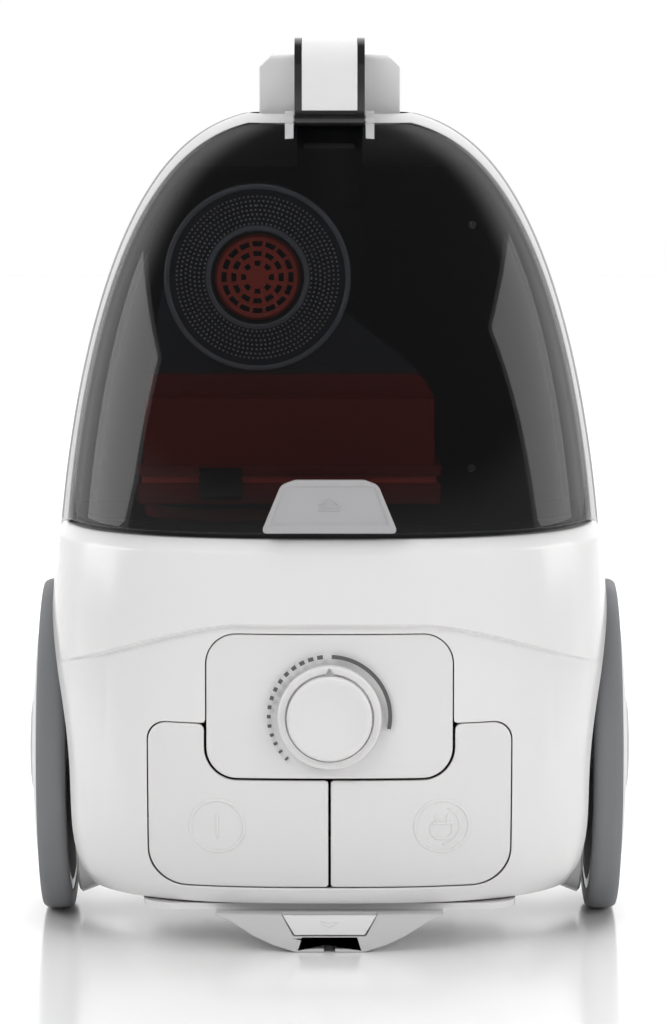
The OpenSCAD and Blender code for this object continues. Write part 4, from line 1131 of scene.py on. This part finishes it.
@dataclass
class Lid:
    """Smoke lid with its hinge ears, seal and release tab."""

    skin: Skin
    palette: Palette
    hinge_y: float = -66.31
    hinge_z: float = 388.0
    tab_y: float = -134.0
    side_ease: float = 0.008
    tab_half: float = 31.5
    tab_neck: float = 22.4

    def shell(self) -> None:
        """The lid as a slab of the skin: across it u is scaled by the lid's half width at each height."""
        t = np.linspace(0, np.pi / 2, 150)
        inward, depth = round_over(1.0)
        z = self.skin.lid_z + (self.skin.lid_top - self.skin.lid_z) * np.sin(t)
        z = np.concatenate([self.skin.lid_z + inward[:-1], z[1:]])
        end = np.concatenate([depth[:-1], np.zeros(len(z) - len(depth) + 1)])
        share, side = edge_rows(-1, 1, self.side_ease, 180)
        ss, zz = np.meshgrid(share, z)
        edge = side[None, :] / self.side_ease
        rim = np.maximum(np.repeat(end[:, None], len(share), 1), np.repeat(edge, len(z), 0))
        x = ss * self.skin.lid_edge(zz)
        half = self.skin.front_half(zz)
        u = self.skin.share_of(x, half)
        lid = slab("smoke_lid", self.skin.crown_grid(u, zz, rim, half),
                   self.skin.crown_grid(u, zz, self.skin.wall, half))
        place(lid, self.palette["smoke"], "lid", "lid")

    def ears(self) -> None:
        """The two hinge ears that carry the lid on its pin."""
        bore, outer = 2.05, 3.5
        for side, tag in SIDES:
            near, far = side * 17.0, side * 21.0
            ear = lathe(f"hinge_ear_{tag}", [(bore, near), (outer, near), (outer, far), (bore, far)],
                        (0, self.hinge_y, self.hinge_z), "x", 48)
            place(ear, self.palette["pale"], "lid")
            web = brick((min(near, far), self.hinge_y - 2.5, self.hinge_z - 9.5),
                        (max(near, far), self.hinge_y + 2.6, self.hinge_z - 2.4))
            web.name = f"hinge_web_{tag}"
            place(web, self.palette["pale"], "lid")

    def tab(self) -> None:
        """The release tab: a rounded trapezoid with a raised border, a dished face and an eject sign."""
        low, high = self.skin.lid_z + 1, self.skin.lid_z + 25.5
        right = [(self.tab_half, low, 1.6), (self.tab_neck, high - 2.4, 5), (16, high, 6)]
        left = [(-x, z, r) for x, z, r in reversed(right)]
        outline = fillet_outline(left[2:] + right + left[:2], 0.9)
        face = Flat(self.tab_y - 5.0)

        def dish(x: Array, z: Array) -> Array:
            """Depth of the face inside the border, which is wider along the lower edge."""
            wing = self.tab_half - 9.1 * (z - low) / (high - low)
            inside = np.minimum(np.minimum(wing - np.abs(x) - 2.2, high - z - 2.2), z - low - 3.6)
            return 0.9 * soft_ramp(inside / 1.2)

        tab = pad("lid_release_tab", face.at, outline, (0.0, (low + high) / 2), 0.9, 4.5, dish, rings=60)
        place(tab, self.palette["grip"], "lid_tab", "lid_tab")
        inner = Flat(self.tab_y - 4.1)
        mid = (low + high) / 2 + 1
        triangle = strokes([(-5.4, mid - 0.6), (0, mid + 2.6), (5.4, mid - 0.6), (-5.4, mid - 0.6)])
        bar = strokes([(-5.4, mid - 2.6), (5.4, mid - 2.6)])
        for name, line in (("tab_triangle", triangle), ("tab_bar", bar)):
            place(bead(name, inner.at, line, 0.9, 0.4), self.palette["grip"], "lid_tab")

    def build(self) -> None:
        """Makes the lid, its ears and its tab."""
        self.shell()
        self.ears()
        self.tab()
        dress(self.palette["seal"], "lid_seal")
        dress(self.palette["steel"], "lid_hinge_pin")


@dataclass
class Container:
    """What shows through the lid: drum with its perforated face, red grille, dust box, flap and clip."""

    palette: Palette
    drum_x: float = -34.0
    drum_z: float = 313.5
    face_y: float = -70.0
    hole_r: float = 0.52
    hole_pitch: float = 2.1

    def holes(self) -> None:
        """Rings of small pale holes round the cyclone's face, each a low six-sided disc."""
        radii = np.arange(25.5, 40, self.hole_pitch)
        turns = [np.arange(0, 2 * np.pi - 0.01, self.hole_pitch / r) + 0.4 * k for k, r in enumerate(radii)]
        centre = np.concatenate([np.stack([r * np.cos(a), r * np.sin(a)], -1) for r, a in zip(radii, turns)])
        corner = np.linspace(0, 2 * np.pi, 6, endpoint=False)
        hexagon = np.stack([np.cos(corner), np.sin(corner)], -1) * self.hole_r
        flat = centre[:, None, :] + hexagon[None]
        count = len(centre)
        layers = []
        for y in (self.face_y - 0.25, self.face_y + 0.2):
            layer = np.empty((count, 6, 3))
            layer[..., 0] = flat[..., 0] + self.drum_x
            layer[..., 1] = y
            layer[..., 2] = flat[..., 1] + self.drum_z
            layers.append(layer)
        points = np.concatenate(layers, 1).reshape(-1, 3)
        first = np.arange(count)[:, None] * 12
        ring = np.arange(6)
        after = (ring + 1) % 6
        sides = np.stack([ring, after, after + 6, ring + 6], -1)[None] + first[:, :, None]
        lids = np.array([[0, 1, 2, 3], [0, 3, 4, 5], [6, 9, 8, 7], [6, 11, 10, 9]])[None] + first[:, :, None]
        faces = np.concatenate([sides.reshape(-1, 4), lids.reshape(-1, 4)])
        place(add_mesh("cyclone_holes", points, faces), self.palette["pale"], "base")

    def face(self) -> None:
        """Outer ring and inner lip of the cyclone's face."""
        middle = (self.drum_x, 0, self.drum_z)
        y = self.face_y
        outer = [(41.5, y + 1), (41.5, y - 1.2), (42.4, y - 2), (43.4, y - 2), (44, y - 1.2), (44, y + 1)]
        inner = [(22, y + 1), (22, y - 1.4), (22.8, y - 2), (24, y - 1.4), (25, y + 1)]
        # The rim and lip take the ring finish, whose light colour is a painted highlight rather than the
        # styrene's own dark tone
        for name, profile in (("cyclone_rim", outer), ("cyclone_lip", inner)):
            place(lathe(name, profile, middle, "y", 128), self.palette["ring"], "base")

    def grille(self) -> None:
        """The red outlet grille: a shallow dished disc with three rings of slots."""
        y = self.face_y + 0.6
        disc = lathe("outlet_grille", [(0, y), (14, y + 0.4), (19, y + 1.4), (20.4, y + 3.2), (20.4, y + 8),
                                       (18.4, y + 8), (18.4, y + 3.4), (0, y + 2.6)],
                     (self.drum_x, 0, self.drum_z), "y", 96)
        cutters = []
        for radius, count, width in ((15.8, 16, 0.30), (11.2, 12, 0.36), (6.6, 8, 0.42)):
            for k in range(count):
                cutters.append(self.slot(radius, 2 * math.pi * k / count, width))
        carve(disc, *cutters)
        place(disc, self.palette["red"], "base", "shroud_grille")

    def slot(self, radius: float, angle: float, width: float) -> bpy.types.Object:
        """One curved slot of the grille, as a short sector of a ring."""
        bow = np.linspace(angle - width / 2, angle + width / 2, 6)
        line = np.concatenate([np.stack([r * np.cos(b), r * np.sin(b)], -1)
                               for r, b in ((radius - 1.25, bow), (radius + 1.25, bow[::-1]))])
        spot = line + [self.drum_x, self.drum_z]
        middle = np.broadcast_to(spot.mean(0), spot.shape)
        rings = np.stack([middle, spot, spot, middle])
        depth = np.array([-4.0, -4.0, 7.5, 7.5])[:, None]
        return tube("cutter", Flat(self.face_y).at(rings[..., 0], rings[..., 1], depth))

    def build(self) -> None:
        """Dresses the container's mouldings and adds the cyclone's details."""
        eased_copy("dust_container", "dust_container_shell", 0.8, self.palette["container"])
        self.holes()
        self.face()
        self.grille()
        eased_copy("container_flap", "dust_flap", 0.8, self.palette["ruby"])
        eased_copy("container_clip", "flap_clip", 0.6, self.palette["piano"])
        dress(self.palette["red"], "container_seal", "filter_basket")
        dress(self.palette["inner"], "cyclone_shroud", "inlet_duct", "compartment_tub")


@dataclass
class Tail:
    """Exhaust cover, parking bracket and latch."""

    palette: Palette
    latch_y: float = -117.5

    def build(self) -> None:
        """Rounds the bracket and latch, and adds the latch's arrow."""
        eased_copy("parking_bracket", "tail_bracket", 0.9, self.palette["pale"])
        eased_copy("exhaust_latch", "cover_latch", 0.5, self.palette["shell"])
        face = Flat(self.latch_y)
        arrow = strokes([(-4.4, 14.6), (4.4, 14.6), (0, 11.8), (-4.4, 14.6)], 0.4)
        place(bead("latch_arrow", face.at, arrow, 0.7, 0.3), self.palette["shell"], "exhaust_latch")
        dress(self.palette["control"], "exhaust_cover", "tail_frame")


@dataclass
class Wheels:
    """The two big wheels and the caster."""

    skin: Skin
    palette: Palette
    inner_x: float = 125.0
    tread: float = 14.5
    tyre_h: float = 9.0
    dome: float = 7.0

    def tyre(self, side: int, tag: str) -> None:
        """A smooth soft tyre with rounded shoulders."""
        r = self.skin.wheel_r
        bead_r = r - self.tyre_h
        t = np.linspace(0, 1, 61)
        crown = 1.6 * (2 * np.abs(t - 0.5)) ** 4
        along = 0.5 + (self.tread - 0.5) * t
        line = [(bead_r, 0.5)] + list(zip(r - 0.05 - crown, along)) + [(bead_r, self.tread)]
        line = [(radius, side * (self.inner_x + place_x)) for radius, place_x in line]
        wheel = lathe(f"rubber_tyre_{tag}", line, (0, 0, r), "x", 180, 50.0)
        place(wheel, self.palette["tyre"], f"wheel_{tag}", f"tyre_{tag}")

    def disc(self, side: int, tag: str) -> None:
        """The domed wheel disc: a rounded lip, a shallow step and a small raised centre cap."""
        rim = self.skin.wheel_r - self.tyre_h - 0.1
        t = np.linspace(1, 0, 60)
        r = rim * t
        rise = self.tread + self.dome * (1 - t ** 2)
        lip = -1.6 * soft_ramp((t - 0.965) / 0.035)
        step = -0.9 * soft_ramp((0.80 - t) / 0.02) * soft_ramp((t - 0.30) / 0.02)
        face = list(zip(r, np.minimum(rise + lip + step, self.tread + self.dome)))
        back = [(0, self.tread - 1), (13, self.tread - 1), (13, 0.2), (5.1, 0.2), (5.1, 0.0), (13.5, 0.0),
                (13.6, self.tread - 4), (rim - 5, self.tread - 5), (rim - 5, 1.0), (rim, 1.0)]
        line = [(radius, side * (self.inner_x + along)) for radius, along in back + face]
        wheel = lathe(f"wheel_cap_{tag}", line, (0, 0, self.skin.wheel_r), "x", 180, 40.0)
        place(wheel, self.palette["disc"], f"wheel_{tag}", f"wheel_disc_{tag}")

    def build(self) -> None:
        """Makes both wheels and dresses the caster and the axle stubs."""
        for side, tag in SIDES:
            self.tyre(side, tag)
            self.disc(side, tag)
        eased_copy("caster_fork", "caster_yoke", 0.5, self.palette["inner"])
        eased_copy("caster_wheel", "caster_roll", 0.9, self.palette["tyre"])
        dress(self.palette["steel"], "caster_pin", "axle_stubs", "case_screws")


@dataclass
class Inside:
    """Finishes of the drive, filters, reel and electrics."""

    palette: Palette

    def build(self) -> None:
        """Dresses each hidden CAD node for what it is made of."""
        dress(self.palette["inner"], "motor_housing", "filter_frame", "pedal_guides", "power_switch",
              "cord_gland")
        dress(self.palette["iron"], "motor_stator")
        dress(self.palette["copper"], "motor_rotor")
        dress(self.palette["steel"], "motor_shaft", "motor_bearings", "fan_impeller", "reel_axle",
              "brake_pin", "dial_shaft")
        dress(self.palette["seal"], "motor_seals")
        dress(self.palette["foam"], "motor_filter")
        dress(self.palette["fleece"], "hepa_filter")
        dress(self.palette["board"], "control_board")
        dress(self.palette["band"], "reel_drum", "reel_brake")


@dataclass
class Studio:
    """Pale floor and backdrop, soft lights, soft-box panels that show in gloss, and the camera."""

    palette: Palette
    eye: tuple[float, float, float] = (0.0016, -2.167, 0.425)
    aim: tuple[float, float, float] = (0.0016, 0.033, 0.195)
    lens: float = 158.9

    def camera(self) -> None:
        """A long lens a little above the cleaner."""
        data = bpy.data.cameras.new("camera")
        data.lens = self.lens
        data.sensor_width = 36.0
        data.clip_end = 50.0
        seat = put("camera", data)
        self.turn(seat, self.eye, self.aim)
        bpy.context.scene.camera = seat

    def turn(self, thing: bpy.types.Object, spot: Sequence[float], aim: Sequence[float]) -> None:
        """Stands a lamp or camera on a spot and turns it to its aim."""
        thing.location = spot
        thing.rotation_euler = (Vector(aim) - Vector(spot)).to_track_quat("-Z", "Y").to_euler()

    def lamp(self, name: str, spot: Sequence[float], low: float, size: tuple[float, float],
             power: float) -> None:
        """A soft rectangular light that reflections don't show.

        Args:
            name: the light's name.
            spot: where it stands, in metres.
            low: height of the point over the origin that it is turned to.
            size: its width and height.
            power: its power in watts.
        """
        data = bpy.data.lights.new(name, "AREA")
        data.shape = "RECTANGLE"
        data.size, data.size_y = size
        data.energy = power
        light = put(name, data)
        self.turn(light, spot, (0, 0, low))
        light.visible_glossy = False
        light.visible_camera = False

    def panel(self, name: str, corners: Sequence[Sequence[float]], strength: float) -> None:
        """A glowing panel that shows only in reflections."""
        mesh = bpy.data.meshes.new(name)
        mesh.from_pydata(corners, [], [tuple(range(len(corners)))])
        glow, tree = bare_material(name)
        light = add_node(tree, "ShaderNodeEmission", {"Strength": strength})
        add_node(tree, "ShaderNodeOutputMaterial", {"Surface": light.outputs["Emission"]})
        mesh.materials.append(glow)
        sheet = put(name, mesh)
        sheet.visible_camera = False
        sheet.visible_diffuse = False
        sheet.visible_shadow = False

    def floor(self) -> None:
        """A wide pale floor with a soft sheen."""
        mesh = bpy.data.meshes.new("floor")
        half = 6.0
        mesh.from_pydata([(-half, -half, 0), (half, -half, 0), (half, half, 0), (-half, half, 0)], [],
                         [(0, 1, 2, 3)])
        mesh.materials.append(Finish("pale_floor", "fafafa", 0.16, grain_mm=30, depth_mm=0.01, mottle=0.004,
                                     wear=0.02, texture=Texture.POLISHED).material())
        sheet = put("floor", mesh)

    def world(self) -> None:
        """White to the eye; in reflections white behind the cleaner and low down, and dim in front of it."""
        sky = bpy.data.worlds.new("studio")
        bpy.context.scene.world = sky
        sky.use_nodes = True
        tree = sky.node_tree
        tree.nodes.clear()
        path = add_node(tree, "ShaderNodeLightPath")
        seen = add_node(tree, "ShaderNodeBackground", {"Color": WHITE, "Strength": 1.0})
        felt = add_node(tree, "ShaderNodeBackground", {"Color": WHITE, "Strength": 0.42})
        way = add_node(tree, "ShaderNodeTexCoord").outputs["Generated"]
        split = add_node(tree, "ShaderNodeSeparateXYZ", {0: way})
        behind, low = [add_node(tree, "ShaderNodeMapRange", {
            "Value": split.outputs[axis], "From Min": start, "From Max": end, "To Min": first, "To Max": last,
        }, interpolation_type="SMOOTHSTEP").outputs["Result"] for axis, start, end, first, last in (
            ("Y", 0.0, 0.5, 0.16, 1.45), ("Z", 0.15, 0.28, 0.45, 0.16))]
        most = add_node(tree, "ShaderNodeMath", {0: behind, 1: low}, operation="MAXIMUM")
        gloss = add_node(tree, "ShaderNodeBackground", {"Color": WHITE, "Strength": most.outputs[0]})
        lit = add_node(tree, "ShaderNodeMixShader", {
            0: path.outputs["Is Glossy Ray"], 1: felt.outputs[0], 2: gloss.outputs[0]})
        whole = add_node(tree, "ShaderNodeMixShader", {
            0: path.outputs["Is Camera Ray"], 1: lit.outputs[0], 2: seen.outputs[0]})
        add_node(tree, "ShaderNodeOutputWorld", {"Surface": whole.outputs[0]})

    def build(self) -> None:
        """Sets up camera, lights, reflection panels, floor and world."""
        bpy.context.scene.view_settings.view_transform = "Standard"
        self.camera()
        self.lamp("key", (-1.6, -2.2, 2.2), 0.2, (1.6, 1.6), 34)
        self.lamp("fill", (2.2, -1.8, 1.2), 0.2, (1.4, 1.4), 23)
        self.lamp("top", (0, 0.2, 2.6), 0.0, (2.4, 2.4), 36)
        self.lamp("back", (0.6, 2.4, 1.6), 0.2, (1.8, 1.6), 30)
        self.panel("soft_box_right", [(3, -0.26, 0.2), (3, -0.69, 1.0), (3, -1.33, 1.9), (3, 1.6, 1.9),
                                      (3, 1.6, 0.2)], 2.9)
        self.panel("soft_box_left", [(-3, -0.26, 0.2), (-3, -0.8, 0.72), (-3, -1.15, 1.57), (-3, 1.6, 1.7),
                                     (-3, 1.6, 0.2)], 3.4)
        self.floor()
        self.world()


def main() -> None:
    """Builds the cleaner from the outside in, then the studio round it."""
    logging.basicConfig(level=logging.INFO, format="%(name)s: %(message)s")
    skin = Skin()
    palette = Palette()
    Studio(palette).build()
    RearCover(skin, palette).build()
    Controls(skin, palette).build()
    Belly(skin, palette).build()
    Frame(skin, palette).build()
    Lid(skin, palette).build()
    Container(palette).build()
    Tail(palette).build()
    Wheels(skin, palette).build()
    Inside(palette).build()


if __name__ == "__main__":
    main()
